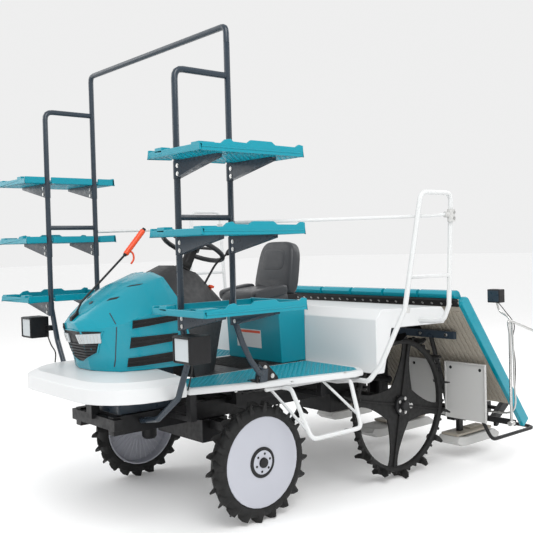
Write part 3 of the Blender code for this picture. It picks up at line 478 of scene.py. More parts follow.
def curved(points: list[Point], steps: int = 6) -> list[Vector]:
    """A smooth path through points.

    Args:
        points: the points.
        steps: pieces between each two.

    Returns:
        The path's points.
    """
    line = [Vector(point) for point in points]
    ends = [line[0] * 2 - line[1], *line, line[-1] * 2 - line[-2]]
    path = []
    for a, b, c, d in zip(ends, ends[1:], ends[2:], ends[3:]):
        for k in range(steps):
            t = k / steps
            path.append(0.5 * (2 * b + (c - a) * t + (2 * a - 5 * b + 4 * c - d) * t ** 2
                               + (3 * b - a - 3 * c + d) * t ** 3))
    return [*path, line[-1]]


def flipped(shape: Shape, s: int) -> Shape:
    """The shape, or its mirror image across the middle plane when s is -1."""
    points, faces = shape
    return [Vector((s * point[0], point[1], point[2])) for point in points], faces


def node_box(node: str) -> tuple[Vector, Vector]:
    """A node's lowest and highest corner, from the front axle."""
    low, high = (Vector(corner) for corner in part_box(node))
    return low - AXLE.at(0, 0, 0), high - AXLE.at(0, 0, 0)


# ---------------------------------------------------------------- repeats
@dataclass
class Repeater:
    """A Geometry Nodes tree that repeats a part, with named inputs.

    Attributes:
        name: the tree's name.
        inputs: name and socket type of each input between the part and its finish.
        tree: the tree, once it is started.
    """

    name: str
    inputs: tuple[tuple[str, str], ...]
    tree: bpy.types.NodeTree | None = None

    def start(self) -> tuple[bpy.types.Node, bpy.types.Node]:
        """Makes the empty tree with its sockets.

        Returns:
            Its input and output nodes.
        """
        self.tree = bpy.data.node_groups.new(self.name, "GeometryNodeTree")
        face = self.tree.interface
        face.new_socket("Part", in_out="INPUT", socket_type="NodeSocketGeometry")
        face.new_socket("Result", in_out="OUTPUT", socket_type="NodeSocketGeometry")
        for label, kind in (*self.inputs, ("Finish", "NodeSocketMaterial")):
            face.new_socket(label, in_out="INPUT", socket_type=kind)
        return self.tree.nodes.new("NodeGroupInput"), self.tree.nodes.new("NodeGroupOutput")

    def finish(self, instances: bpy.types.NodeSocket, given: bpy.types.Node, result: bpy.types.Node) -> None:
        """Ends the tree in Realize Instances and Set Material.

        Args:
            instances: the socket with the instances.
            given: the input node.
            result: the output node.
        """
        real = self.tree.nodes.new("GeometryNodeRealizeInstances")
        paint = self.tree.nodes.new("GeometryNodeSetMaterial")
        link = self.tree.links.new
        link(instances, real.inputs[0])
        link(real.outputs[0], paint.inputs["Geometry"])
        link(given.outputs["Finish"], paint.inputs["Material"])
        link(paint.outputs[0], result.inputs[0])

    def run(self, name: str, shapes: list[Shape], values: dict[str, object], finish: Finish, body: str,
            sharp: float = 35.0) -> bpy.types.Object:
        """Repeats a part and keeps the result as one plain mesh.

        Args:
            name: the piece's name.
            shapes: the part, in the tree's own place.
            values: the inputs by name.
            finish: its finish.
            body: the body it rides on.
            sharp: edges that turn by more than this many degrees stay sharp.

        Returns:
            The finished piece.
        """
        seed = bpy.data.objects.new(f"{name}_seed", mesh_from(name, shapes, sharp, from_axle=False))
        bpy.context.scene.collection.objects.link(seed)
        step = seed.modifiers.new("repeat", "NODES")
        step.node_group = self.tree
        for item in self.tree.interface.items_tree:
            if item.in_out == "INPUT" and item.name in values:
                step[item.identifier] = values[item.name]
            if item.in_out == "INPUT" and item.name == "Finish":
                step[item.identifier] = finish.build()
        graph = bpy.context.evaluated_depsgraph_get()
        mesh = bpy.data.meshes.new_from_object(seed.evaluated_get(graph))
        bpy.data.objects.remove(seed, do_unlink=True)
        return dressed(bpy.data.objects.new(name, mesh), finish, body)


def ring_repeater() -> Repeater:
    """A tree that turns copies of a part round an axis through a centre.

    Returns:
        The tree with its inputs.
    """
    made = Repeater("round an axis", (("Count", "NodeSocketInt"), ("Centre", "NodeSocketVector"),
                                      ("Axis", "NodeSocketVector")))
    given, result = made.start()
    nodes, link = made.tree.nodes, made.tree.links.new
    line = nodes.new("GeometryNodeMeshLine")
    link(given.outputs["Count"], line.inputs["Count"])
    link(given.outputs["Centre"], line.inputs["Start Location"])
    line.inputs["Offset"].default_value = (0, 0, 0)
    share = nodes.new("ShaderNodeMath")
    share.operation = "DIVIDE"
    share.inputs[0].default_value = 2 * math.pi
    link(given.outputs["Count"], share.inputs[1])
    angle = nodes.new("ShaderNodeMath")
    angle.operation = "MULTIPLY"
    link(nodes.new("GeometryNodeInputIndex").outputs[0], angle.inputs[0])
    link(share.outputs[0], angle.inputs[1])
    turn = nodes.new("FunctionNodeAxisAngleToRotation")
    link(given.outputs["Axis"], turn.inputs["Axis"])
    link(angle.outputs[0], turn.inputs["Angle"])
    copies = nodes.new("GeometryNodeInstanceOnPoints")
    link(line.outputs[0], copies.inputs["Points"])
    link(given.outputs["Part"], copies.inputs["Instance"])
    link(turn.outputs[0], copies.inputs["Rotation"])
    made.finish(copies.outputs[0], given, result)
    return made


def grid_repeater() -> Repeater:
    """A tree that sets copies of a part out in rows.

    Returns:
        The tree with its inputs.
    """
    made = Repeater("in rows", (("Count A", "NodeSocketInt"), ("Step A", "NodeSocketVector"),
                                ("Count B", "NodeSocketInt"), ("Step B", "NodeSocketVector")))
    given, result = made.start()
    nodes, link = made.tree.nodes, made.tree.links.new
    lines = []
    for label in ("A", "B"):
        line = nodes.new("GeometryNodeMeshLine")
        link(given.outputs[f"Count {label}"], line.inputs["Count"])
        link(given.outputs[f"Step {label}"], line.inputs["Offset"])
        lines.append(line)
    rows = nodes.new("GeometryNodeInstanceOnPoints")
    link(lines[0].outputs[0], rows.inputs["Points"])
    link(lines[1].outputs[0], rows.inputs["Instance"])
    flat = nodes.new("GeometryNodeRealizeInstances")
    link(rows.outputs[0], flat.inputs[0])
    copies = nodes.new("GeometryNodeInstanceOnPoints")
    link(flat.outputs[0], copies.inputs["Points"])
    link(given.outputs["Part"], copies.inputs["Instance"])
    made.finish(copies.outputs[0], given, result)
    return made


def bolt_repeater() -> Repeater:
    """A tree that sets a hexagon bolt with a washer on each point of a mesh.

    Returns:
        The tree with its inputs.
    """
    made = Repeater("bolts", (("Radius", "NodeSocketFloat"), ("Height", "NodeSocketFloat"),
                              ("Axis", "NodeSocketVector")))
    given, result = made.start()
    nodes, link = made.tree.nodes, made.tree.links.new
    join = nodes.new("GeometryNodeJoinGeometry")
    for corners, wide, tall in ((6, 1.0, 1.0), (16, 1.6, 0.3)):
        head = nodes.new("GeometryNodeMeshCylinder")
        head.inputs["Vertices"].default_value = corners
        for label, share in (("Radius", wide), ("Height", tall)):
            scale = nodes.new("ShaderNodeMath")
            scale.operation = "MULTIPLY"
            scale.inputs[1].default_value = share
            link(given.outputs[label], scale.inputs[0])
            link(scale.outputs[0], head.inputs["Radius" if label == "Radius" else "Depth"])
        link(head.outputs["Mesh"], join.inputs[0])
    turn = nodes.new("FunctionNodeAlignRotationToVector")
    turn.axis = "Z"
    link(given.outputs["Axis"], turn.inputs["Vector"])
    copies = nodes.new("GeometryNodeInstanceOnPoints")
    link(given.outputs["Part"], copies.inputs["Points"])
    link(join.outputs[0], copies.inputs["Instance"])
    link(turn.outputs[0], copies.inputs["Rotation"])
    made.finish(copies.outputs[0], given, result)
    return made


def stud_repeater() -> Repeater:
    """A tree that sets a flat diamond on each point of a mesh.

    Returns:
        The tree with its inputs.
    """
    made = Repeater("diamonds", (("Radius", "NodeSocketFloat"), ("Height", "NodeSocketFloat")))
    given, result = made.start()
    nodes, link = made.tree.nodes, made.tree.links.new
    cone = nodes.new("GeometryNodeMeshCone")
    cone.inputs["Vertices"].default_value = 4
    link(given.outputs["Radius"], cone.inputs["Radius Bottom"])
    link(given.outputs["Height"], cone.inputs["Depth"])
    half = nodes.new("ShaderNodeMath")
    half.operation = "MULTIPLY"
    half.inputs[1].default_value = 0.45
    link(given.outputs["Radius"], half.inputs[0])
    link(half.outputs[0], cone.inputs["Radius Top"])
    copies = nodes.new("GeometryNodeInstanceOnPoints")
    copies.inputs["Scale"].default_value = (0.55, 1.0, 1.0)
    link(given.outputs["Part"], copies.inputs["Points"])
    link(cone.outputs["Mesh"], copies.inputs["Instance"])
    made.finish(copies.outputs[0], given, result)
    return made


def bolts(name: str, places: list[Point], axis: Point, radius: float, body: str,
          finish: Finish | None = None) -> bpy.types.Object:
    """Sets bolt heads at places given from the front axle.

    Args:
        name: the piece's name.
        places: middle of each head's foot.
        axis: where the heads point.
        radius: of a head.
        body: the body they ride on.
        finish: their finish, or None for zinc steel.

    Returns:
        The finished piece.
    """
    spots: Shape = ([AXLE.at(*place) for place in places], [])
    values = {"Radius": radius, "Height": radius * 1.1, "Axis": axis}
    return BOLTS.run(name, [spots], values, finish or STEEL, body)


RINGS = ring_repeater()
ROWS = grid_repeater()
BOLTS = bolt_repeater()
STUDS = stud_repeater()


def stands_for(node: str) -> None:
    """Makes a piece stand for a node, so that the node's own shape isn't kept."""
    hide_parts(node)
    REPLACED.add(node)


# ---------------------------------------------------------------- wheels
@dataclass
class FrontWheel:
    """Tyre with pointed lugs on a pale dished disc.

    Attributes:
        side: left or right.
        s: 1 on the left, -1 on the right.
    """

    side: str
    s: int
    lugs: int = 20
    carcass_r: float = 0.298
    rim_r: float = 0.2465
    hub_r: float = 0.083
    bolt_circle: float = 0.048

    def build(self) -> None:
        """Makes the tyre, its lugs and the hub."""
        low, high = node_box(f"front_tyre_{self.side}")
        self.middle = (low + high) / 2
        self.middle.z = low.z + (high.y - low.y) / 2 * math.cos(math.pi / 32)
        self.half = (high.x - low.x) / 2
        self.tip = (high.y - low.y) / 2 - 0.001
        self.body = f"front_wheel_{self.side}"
        self._tyre()
        self._lugs()
        self._hub()

    def _tyre(self) -> None:
        """Rounded carcass, which stands for the plain tyre."""
        h, r = self.half, self.carcass_r
        outline = [(-h + 0.004, self.rim_r), (-h, self.rim_r + 0.014), (-h + 0.002, r - 0.024),
                   (-h * 0.75, r - 0.006),
                   (-h * 0.35, r), (h * 0.35, r), (h * 0.75, r - 0.006), (h - 0.002, r - 0.024),
                   (h, self.rim_r + 0.014), (h - 0.004, self.rim_r)]
        end = self.middle + Vector((1, 0, 0))
        tyre = piece(f"tyre_{self.side}", [turned(self.middle, end, outline, 72, closed=True)], RUBBER,
                     self.body, sharp=45)
        stands_for(f"front_tyre_{self.side}")

    def _lugs(self) -> None:
        """Pointed lugs in two rows, half a step apart."""
        for row, way in enumerate((-1, 1)):
            stations = ((0.002, 0.292, 0.006, 0.014, self.tip - 0.012),
                        (0.024, 0.286, -0.010, 0.017, self.tip),
                        (self.half - 0.003, 0.272, -0.026, 0.017, self.tip - 0.002),
                        (self.half, 0.258, -0.030, 0.010, self.tip - 0.030))
            sections = []
            for x, foot, back, wide, top in stations:
                sections.append([(way * x, back - wide * 0.9, foot), (way * x, back + wide * 1.1, foot),
                                 (way * x, back + wide * 0.30, top), (way * x, back - wide * 0.35, top)])
            points, faces = loft(sections)
            turn = Matrix.Rotation(math.pi / self.lugs * row, 3, "X")
            shape = ([turn @ point for point in points], faces)
            RINGS.run(f"tyre_lugs_{self.side}_{row + 1}", [shape],
                      {"Count": self.lugs, "Centre": AXLE.at(*self.middle), "Axis": (1, 0, 0)}, RUBBER,
                      self.body)

    def _hub(self) -> None:
        """Black hub with its bolts, and ribs inside the disc."""
        low, high = node_box(f"front_disc_{self.side}")
        face = high.x if self.s > 0 else low.x
        start = Vector((face - self.s * 0.014, self.middle.y, self.middle.z))
        end = start + Vector((self.s, 0, 0))
        cap = [(0.0, self.hub_r), (0.006, self.hub_r), (0.010, self.hub_r - 0.006), (0.010, 0.066),
               (0.005, 0.060),
               (0.005, 0.030), (0.022, 0.026), (0.024, 0.010), (0.024, 0.001)]
        piece(f"front_hub_{self.side}", [turned(start, end, [(0.0, 0.001), *cap], 40)], BLACK, self.body,
              sharp=30)
        spots = []
        for k in range(6):
            a = 2 * math.pi * k / 6 + 0.3
            spots.append((face - self.s * 0.005, self.middle.y + self.bolt_circle * math.cos(a),
                          self.middle.z + self.bolt_circle * math.sin(a)))
        bolts(f"front_hub_bolts_{self.side}", spots, (self.s, 0, 0), 0.0075, self.body, BLACK)
        inner = low.x if self.s > 0 else high.x
        rib = block((-0.003, 0.003), (-0.002, 0.002), (0.085, 0.222))
        RINGS.run(f"disc_ribs_{self.side}", [rib],
                  {"Count": 32, "Centre": AXLE.at(inner + self.s * 0.030, self.middle.y, self.middle.z),
                   "Axis": (1, 0, 0)}, DISC, self.body)


@dataclass
class RearWheel:
    """Slim ring with paddle lugs on a star of four broad spokes.

    Attributes:
        side: left or right.
        s: 1 on the left, -1 on the right.
        paddles: number of paddles.
        ring_r: inner and outer radius of the ring.
        ring_half: half width of the ring.
        paddle_half: half width of a paddle.
        spoke_turn: angle of the first spoke.
    """

    side: str
    s: int
    paddles: int = 14
    ring_r: tuple[float, float] = (0.385, 0.418)
    ring_half: float = 0.022
    paddle_half: float = 0.066
    spoke_turn: float = math.radians(78)

    def build(self) -> None:
        """Makes the ring, spokes, lugs and hub."""
        low, high = node_box(f"rear_wheel_{self.side}")
        self.body = f"rear_wheel_{self.side}"
        self.tip = (high.y - low.y) / 2
        self.middle = Vector(((low.x + high.x) / 2, (low.y + high.y) / 2,
                              low.z + self.tip * math.cos(math.pi / 32)))
        wheel = piece(f"wheel_star_{self.side}", self._star(), RUBBER, self.body, bevel=0.002, sharp=32)
        stands_for(f"rear_wheel_{self.side}")
        values = {"Centre": AXLE.at(*self.middle), "Axis": (1, 0, 0)}
        RINGS.run(f"paddles_{self.side}", self._paddle(), {"Count": self.paddles, **values}, RUBBER,
                  self.body)
        RINGS.run(f"teeth_{self.side}", self._tooth(), {"Count": self.paddles * 3, **values}, RUBBER,
                  self.body)
        start = self.middle + Vector((self.s * 0.010, 0, 0))
        cap = [(0, 0.001), (0, 0.062), (0.018, 0.062), (0.024, 0.055), (0.024, 0.034), (0.046, 0.030),
               (0.046, 0.001)]
        piece(f"rear_hub_{self.side}", [turned(start, start + Vector((self.s, 0, 0)), cap, 32)], BLACK,
              self.body,
              sharp=30)
        spots = []
        for k in range(5):
            a = 2 * math.pi * k / 5
            spots.append((self.middle.x + self.s * 0.036, self.middle.y + 0.045 * math.cos(a),
                          self.middle.z + 0.045 * math.sin(a)))
        bolts(f"rear_hub_bolts_{self.side}", spots, (self.s, 0, 0), 0.007, self.body)
        tag = self.middle + Vector((self.s * 0.0075, 0.105, -0.02))
        piece(f"wheel_tag_{self.side}", [turned(tag, tag + Vector((self.s, 0, 0)),
                                                [(0, 0.001), (0, 0.017), (0.001, 0.016),
                                                                                    (0.001, 0.001)], 24)],
              GREY, self.body)

    def _star(self) -> list[Shape]:
        """Ring and the star of spokes.

        Returns:
            The shapes.
        """
        h, (inner, outer) = self.ring_half, self.ring_r
        band = [(-h, inner + 0.010), (-h, outer - 0.008), (-h * 0.5, outer), (h * 0.5, outer),
                (h, outer - 0.008),
                (h, inner + 0.010), (h * 0.5, inner), (-h * 0.5, inner)]
        shapes = [turned(self.middle, self.middle + Vector((1, 0, 0)), band, 72, closed=True)]
        for k in range(4):
            turn = self.spoke_turn + k * math.pi / 2
            edge = []
            for j in range(9):
                t = j / 8
                edge.append((0.050 + (inner + 0.012 - 0.050) * t,
                             0.100 * (1 - t) ** 1.8 + 0.026 + 0.020 * t ** 6))
            outline = [(r, -w) for r, w in edge] + [(r, w) for r, w in reversed(edge)]
            loop = [(self.middle.y + r * math.cos(turn) - w * math.sin(turn),
                     self.middle.z + r * math.sin(turn) + w * math.cos(turn)) for r, w in outline]
            shift = k * 0.0004
            shapes.append(prism("x", self.middle.x - 0.005 + shift, self.middle.x + 0.005 + shift, loop))
            rib = [(self.middle.y + r * math.cos(turn) - w * math.sin(turn),
                    self.middle.z + r * math.sin(turn) + w * math.cos(turn))
                   for r, w in ((0.06, -0.006), (inner + 0.005, -0.004), (inner + 0.005, 0.004),
                                (0.06, 0.006))]
            shapes.append(prism("x", self.middle.x - 0.016, self.middle.x + 0.016, rib))
        return shapes

    def _paddle(self) -> list[Shape]:
        """One broad paddle with a stepped, pointed edge.

        Returns:
            The paddle and its gusset, at the top of the wheel.
        """
        base, tip, half = self.ring_r[1] - 0.010, self.tip, self.paddle_half
        outline = [(-half * 0.45, base), (-half * 0.8, base + 0.012), (-half, tip - 0.018),
                   (-half * 0.72, tip - 0.002),
                   (-half * 0.25, tip - 0.012), (half * 0.25, tip - 0.012), (half * 0.72, tip - 0.002),
                   (half, tip - 0.018), (half * 0.8, base + 0.012), (half * 0.45, base)]
        foot = [[(x, -0.016 + 0.5 * (z - base), z) for x, z in outline],
                [(x, 0.004 + 0.15 * (z - base), z) for x, z in outline]]
        gusset = prism("x", -0.010, 0.010, [(0.0, base - 0.004), (0.046, base - 0.004), (0.006, tip - 0.016)])
        return [loft(foot), gusset]

    def _tooth(self) -> list[Shape]:
        """One small tooth between the paddles.

        Returns:
            The tooth, at the top of the wheel.
        """
        base = self.ring_r[1] - 0.004
        return [prism("x", -0.018, 0.018, [(-0.012, base), (0.012, base), (0.003, base + 0.017),
                                           (-0.006, base + 0.017)])]


# ---------------------------------------------------------------- rack
POST_Y = {"rack_front_post": -0.539, "rack_rear_post": -0.217}


@dataclass
class Tray:
    """Seedling tray: chunky rim with a ramp and a hump, on a perforated floor.

    Attributes:
        node: the tray's node.
        s: 1 on the left, -1 on the right.
        wall: thickness of the rim.
        pitch: distance between two bars of the floor.
        bar: width of a bar.
        bar_h: height of a bar.
    """

    node: str
    s: int
    wall: float = 0.014
    pitch: float = 0.034
    bar: float = 0.011
    bar_h: float = 0.007

    def build(self) -> None:
        """Makes the rim and the perforated floor."""
        low, high = node_box(self.node)
        x0, x1 = sorted((abs(low.x), abs(high.x)))
        y0, y1, z = low.y, high.y, low.z
        body, w = body_of(self.node), self.wall
        middle = (y0 + y1) / 2 + 0.045
        side = [(y0, z), (y0, z + 0.032), (y0 + 0.060, z + 0.036), (y0 + 0.118, z + 0.036),
                (y0 + 0.140, z + 0.053),
                (y0 + 0.172, z + 0.058), (y0 + 0.186, z + 0.047), (middle - 0.085, z + 0.045),
                (middle - 0.062, z + 0.060), (middle + 0.062, z + 0.060), (middle + 0.085, z + 0.045),
                (y1 - 0.050, z + 0.044), (y1 - 0.026, z + 0.058), (y1, z + 0.054), (y1, z)]
        shapes = [prism("x", x1 - w, x1, side)]
        for a, b in self._between_posts(y0, y1):
            shapes.append(block((x0, x0 + w), (a, b), (z, z + 0.040)))
        shapes += [block((x0, x1), (y0, y0 + w), (z, z + 0.031)),
                   block((x0, x1), (y1 - w, y1), (z, z + 0.044)),
                   block((x0 + 0.060, x0 + 0.120), (y0, y0 + 0.050), (z + 0.010, z + 0.044)),
                   block((x1 - 0.070, x1 - 0.010), (y0 + 0.002, y0 + 0.090), (z + 0.010, z + 0.040)),
                   block((x1 - 0.004, x1 + 0.003), (y0 + 0.010, y1 - 0.010), (z + 0.014, z + 0.022)),
                   block((x0 + 0.004, x1 - 0.004), (y0 + 0.180, y0 + 0.205), (z, z + 0.016)),
                   block((x0 + 0.055, x0 + 0.067), (y0 + 0.004, y1 - 0.004), (z, z + 0.016))]
        rim = piece(f"rim_{self.node}", [flipped(shape, self.s) for shape in shapes], TEAL_MOULDED, body,
                    bevel=0.003)
        stands_for(self.node)
        self._floor(x0, x1, y0, y1, z, body)

    def _between_posts(self, y0: float, y1: float) -> list[tuple[float, float]]:
        """Stretches of the inner rim that miss the posts.

        Args:
            y0: front edge of the tray.
            y1: rear edge.

        Returns:
            Start and end of each stretch.
        """
        cuts = []
        for at in POST_Y.values():
            cuts.append((at - 0.022, at + 0.022))
        edges = [y0, *[y for cut in sorted(cuts) for y in cut], y1]
        return list(zip(edges[::2], edges[1::2]))

    def _floor(self, x0: float, x1: float, y0: float, y1: float, z: float, body: str) -> None:
        """Bars both ways, outboard of the posts.

        Args:
            x0: inner edge of the tray.
            x1: outer edge.
            y0: front edge.
            y1: rear edge.
            z: underside.
            body: the body it rides on.
        """
        inner = x0 + 0.050
        low, high = (inner, x1 - 0.006) if self.s > 0 else (-x1 + 0.006, -inner)
        across = int((y1 - y0 - 0.02) / self.pitch)
        along = int((high - low - 0.01) / self.pitch)
        shift = AXLE.y
        long_bar = block((low, low + self.bar), (y0 + 0.004 + shift, y1 - 0.004 + shift), (z, z + self.bar_h))
        ROWS.run(f"floor_long_{self.node}", [long_bar],
                 {"Count A": along + 1, "Step A": ((high - low - self.bar) / along, 0, 0), "Count B": 1,
                  "Step B": (0, 0, 0)},
                 TEAL_MOULDED, body)
        cross = block((low, high), (y0 + 0.006 + shift, y0 + 0.006 + self.bar + shift),
                      (z + 0.0004, z + self.bar_h - 0.0004))
        ROWS.run(f"floor_cross_{self.node}", [cross],
                 {"Count A": across + 1, "Step A": (0, (y1 - y0 - 0.012 - self.bar) / across, 0),
                  "Count B": 1,
                  "Step B": (0, 0, 0)}, TEAL_MOULDED, body)


@dataclass
class Rack:
    """Trays, and the bolts and brackets of the posts.

    Attributes:
        post_x: middle of a post, across the machine.
        post_r: radius of a post.
    """

    post_x: float = 0.718
    post_r: float = 0.016

    def build(self) -> None:
        """Makes six trays and dresses the posts."""
        for side, s in SIDES:
            spots, collars = [], []
            for level in ("bottom", "middle", "top"):
                node = f"tray_{level}_{side}"
                Tray(node, s).build()
                z = node_box(node)[0].z
                for y in POST_Y.values():
                    for lift in (-0.028, -0.066):
                        spots.append((s * (self.post_x + self.post_r + 0.012), y - 0.017, z + lift))
                    collars.append(tube([(s * self.post_x, y, z - 0.088), (s * self.post_x, y, z - 0.004)],
                                        0.0185, 16))
            bolts(f"arm_bolts_{side}", spots, (0, -1, 0), 0.0065, "chassis")
            piece(f"post_collars_{side}", collars, SLATE, "chassis", sharp=40)
            gusset = prism("x", 0.676, 0.684, [(-0.050, 0.764), (0.105, 0.764), (0.095, 0.782),
                                               (0.020, 0.862), (-0.030, 0.870)])
            foot = block((0.600, 0.684), (-0.045, 0.100), (0.7605, 0.7665))
            piece(f"post_gusset_{side}", [flipped(gusset, s), flipped(foot, s)], BLACK, "chassis",
                  bevel=0.001)
            bolts(f"gusset_bolts_{side}", [(s * 0.686, 0.010, 0.835), (s * 0.686, 0.060, 0.785),
                                           (s * 0.686, -0.020, 0.785)],
                  (s, 0, 0), 0.008, "chassis")
            strut = [(s * 0.700, -0.050, 0.855), (s * 0.655, 0.055, 0.790)]
            piece(f"post_strut_{side}", [tube(strut, 0.009)], SLATE, "chassis", sharp=50)

# ---------------------------------------------------------------- bonnet and controls
@dataclass
class Skin:
    """The outside of a node, which panels and slats are laid on.

    Attributes:
        node: the node's name.
    """

    node: str

    def __post_init__(self) -> None:
        """Reads the node's faces."""
        mesh = frame["nodes"][self.node].data
        points = [vertex.co - AXLE.at(0, 0, 0) for vertex in mesh.vertices]
        self.tree = BVHTree.FromPolygons(points, [tuple(face.vertices) for face in mesh.polygons])

    def patch(self, corners: list[Point], towards: Point, out: float, deep: float, across: int = 8,
              down: int = 4) -> Shape:
        """A thin slab on the skin between four corners.

        Args:
            corners: four places off the skin, in order round the patch.
            towards: the way from them to the skin.
            out: how far its face stands off the skin.
            deep: how far it reaches below its face.
            across: pieces along the first side.
            down: pieces along the second side.

        Returns:
            Points and faces.
        """
        a, b, c, d = (Vector(corner) for corner in corners)
        way = Vector(towards)
        faces, layers = [], [[], []]
        for j in range(down + 1):
            for i in range(across + 1):
                u, v = i / across, j / down
                start = a.lerp(b, u).lerp(d.lerp(c, u), v)
                hit, normal = self.tree.ray_cast(start, way, 2.0)[:2]
                if hit is None:
                    hit, normal = self.tree.find_nearest(start)[:2]
                normal = -normal if normal.dot(way) > 0 else normal
                layers[0].append(hit + normal * out)
                layers[1].append(hit + normal * (out - deep))
        size, row = len(layers[0]), across + 1
        for j in range(down):
            for i in range(across):
                k = j * row + i
                faces.append((k, k + 1, k + row + 1, k + row))
                faces.append((size + k + row, size + k + row + 1, size + k + 1, size + k))
        rim = list(range(row)) + [row * (j + 1) - 1 for j in range(1, down + 1)]
        rim += list(range(size - 2, size - row - 1, -1)) + [row * j for j in range(down - 1, 0, -1)]
        for k, at in enumerate(rim):
            after = rim[(k + 1) % len(rim)]
            faces.append((at, size + at, size + after, after))
        return layers[0] + layers[1], faces


@dataclass
class Bonnet:
    """Grille, louvres and slots of the bonnet.

    Attributes:
        body: the body they ride on.
        slats: slats in the grille.
        louvres: corners of each louvre as y and z, and its number of slats.
        grille: half width and height of the grille's corners, from the top.
        lens: corners of a lens as x and z, in order round it.
    """

    body: str = "bonnet"
    slats: int = 6
    louvres: tuple[tuple[Loop, int], ...] = (
        ([(-0.554, 1.113), (-0.264, 1.128), (-0.266, 1.090), (-0.556, 1.061)], 3),
        ([(-0.563, 1.025), (-0.288, 1.026), (-0.289, 0.977), (-0.571, 0.957)], 3),
        ([(-0.576, 0.916), (-0.304, 0.929), (-0.319, 0.866), (-0.581, 0.859)], 3),
    )
    grille: Loop = field(default_factory=lambda: [(0.201, 1.059), (0.152, 0.944), (0.02, 0.889)])
    lens: Loop = field(default_factory=lambda: [(0.045, 1.04), (0.195, 1.049), (0.188, 0.998),
                                                (0.053, 0.991)])

    def build(self) -> None:
        """Makes the panels on the skin."""
        skin = Skin("bonnet")
        self._louvres(skin)
        self._grille(skin)
        self._top(skin)

    def _louvres(self, skin: Skin) -> None:
        """Three slatted louvres on each side.

        Args:
            skin: the bonnet's outside.
        """
        for side, s in SIDES:
            beds, slats, rims = [], [], []
            for loop, count in self.louvres:
                corners = [(s * 0.9, y, z) for y, z in loop]
                beds.append(skin.patch(corners, (-s, 0, 0), 0.0012, 0.004, 12, 3))
                a, b, c, d = (Vector(corner) for corner in corners)
                for k in range(count):
                    low, high = (k + 0.18) / count, (k + 0.66) / count
                    strip = [a.lerp(d, low), b.lerp(c, low), b.lerp(c, high), a.lerp(d, high)]
                    slats.append(skin.patch([tuple(p) for p in strip], (-s, 0, 0), 0.0050, 0.005, 12, 1))
                for p, q, inward in ((a, b, d - a), (d, c, a - d)):
                    edge = inward.normalized() * 0.006
                    strip = [p, q, q + edge, p + edge]
                    rims.append(skin.patch([tuple(v) for v in strip], (-s, 0, 0), 0.0032, 0.004, 12, 1))
            piece(f"louvre_beds_{side}", beds, BLACK, self.body, sharp=40)
            piece(f"louvre_slats_{side}", slats, BLACK, self.body, sharp=40)
            piece(f"louvre_rims_{side}", rims, TEAL, self.body, sharp=40)
            seam = [(s * 0.9, -0.636, 1.150), (s * 0.9, -0.632, 1.150), (s * 0.9, -0.632, 0.868),
                    (s * 0.9, -0.636, 0.868)]
            piece(f"bonnet_seam_{side}", [skin.patch(seam, (-s, 0, 0), 0.0008, 0.003, 1, 16)], SLATE,
                  self.body)

    def _half(self, z: float) -> float:
        """Half width of the grille at a height.

        Args:
            z: the height.

        Returns:
            The half width.
        """
        for (near, high), (far, low) in zip(self.grille, self.grille[1:]):
            if high >= z >= low:
                return near + (far - near) * (high - z) / (high - low)
        return self.grille[-1][0]

    def _band(self, high: float, low: float, inset: float) -> list[Point]:
        """Corners of a level band of the grille."""
        a, b = self._half(high) - inset, self._half(low) - inset
        return [(-a, -1.3, high), (a, -1.3, high), (b, -1.3, low), (-b, -1.3, low)]

    def _grille(self, skin: Skin) -> None:
        """Pointed grille with slats and two small ribbed lenses.

        Args:
            skin: the bonnet's outside.
        """
        beds, sides = [], []
        for (near, high), (far, low) in zip(self.grille, self.grille[1:]):
            beds.append(skin.patch(self._band(high, low, 0.0), (0, 1, 0), 0.0012, 0.004, 14, 6))
            for s in (-1, 1):
                edge = [(s * near, -1.3, high), (s * (near + 0.007), -1.3, high),
                        (s * (far + 0.007), -1.3, low - 0.002),
                        (s * far, -1.3, low)]
                sides.append(skin.patch(edge, (0, 1, 0), 0.0045, 0.005, 1, 8))
        top = self.grille[0][1]
        sides.append(skin.patch(self._band(top + 0.007, top, -0.005), (0, 1, 0), 0.0050, 0.006, 14, 1))
        piece("grille_bed", beds, BLACK, self.body, sharp=40)
        piece("grille_rim", sides, TEAL, self.body, sharp=40)
        first, last = self.lens[2][1] - 0.008, self.grille[-1][1] + 0.006
        step = (first - last) / self.slats
        slats = [skin.patch(self._band(first - k * step, first - (k + 0.45) * step, 0.006), (0, 1, 0),
                            0.0065, 0.006, 14, 1)
                 for k in range(self.slats)]
        piece("grille_slats", slats, CHARCOAL, self.body, sharp=40)
        lenses, bars = [], []
        (ax, az), (bx, bz), (cx, cz), (dx, dz) = self.lens
        for s in (-1, 1):
            pane = [(s * x, -1.3, z) for x, z in self.lens]
            lenses.append(skin.patch(pane, (0, 1, 0), 0.0085, 0.008, 8, 3))
            for k in range(1, 8):
                t = k / 8
                high, low = (ax + (bx - ax) * t, az + (bz - az) * t), (dx + (cx - dx) * t, dz + (cz - dz) * t)
                bar = [(s * high[0], -1.3, high[1] - 0.003), (s * (high[0] + 0.003), -1.3, high[1] - 0.003),
                       (s * (low[0] + 0.003), -1.3, low[1] + 0.003), (s * low[0], -1.3, low[1] + 0.003)]
                bars.append(skin.patch(bar, (0, 1, 0), 0.0102, 0.004, 1, 3))
        piece("grille_lenses", lenses, LENS, self.body, sharp=40)
        piece("lens_ribs", bars, GREY, self.body, sharp=40)

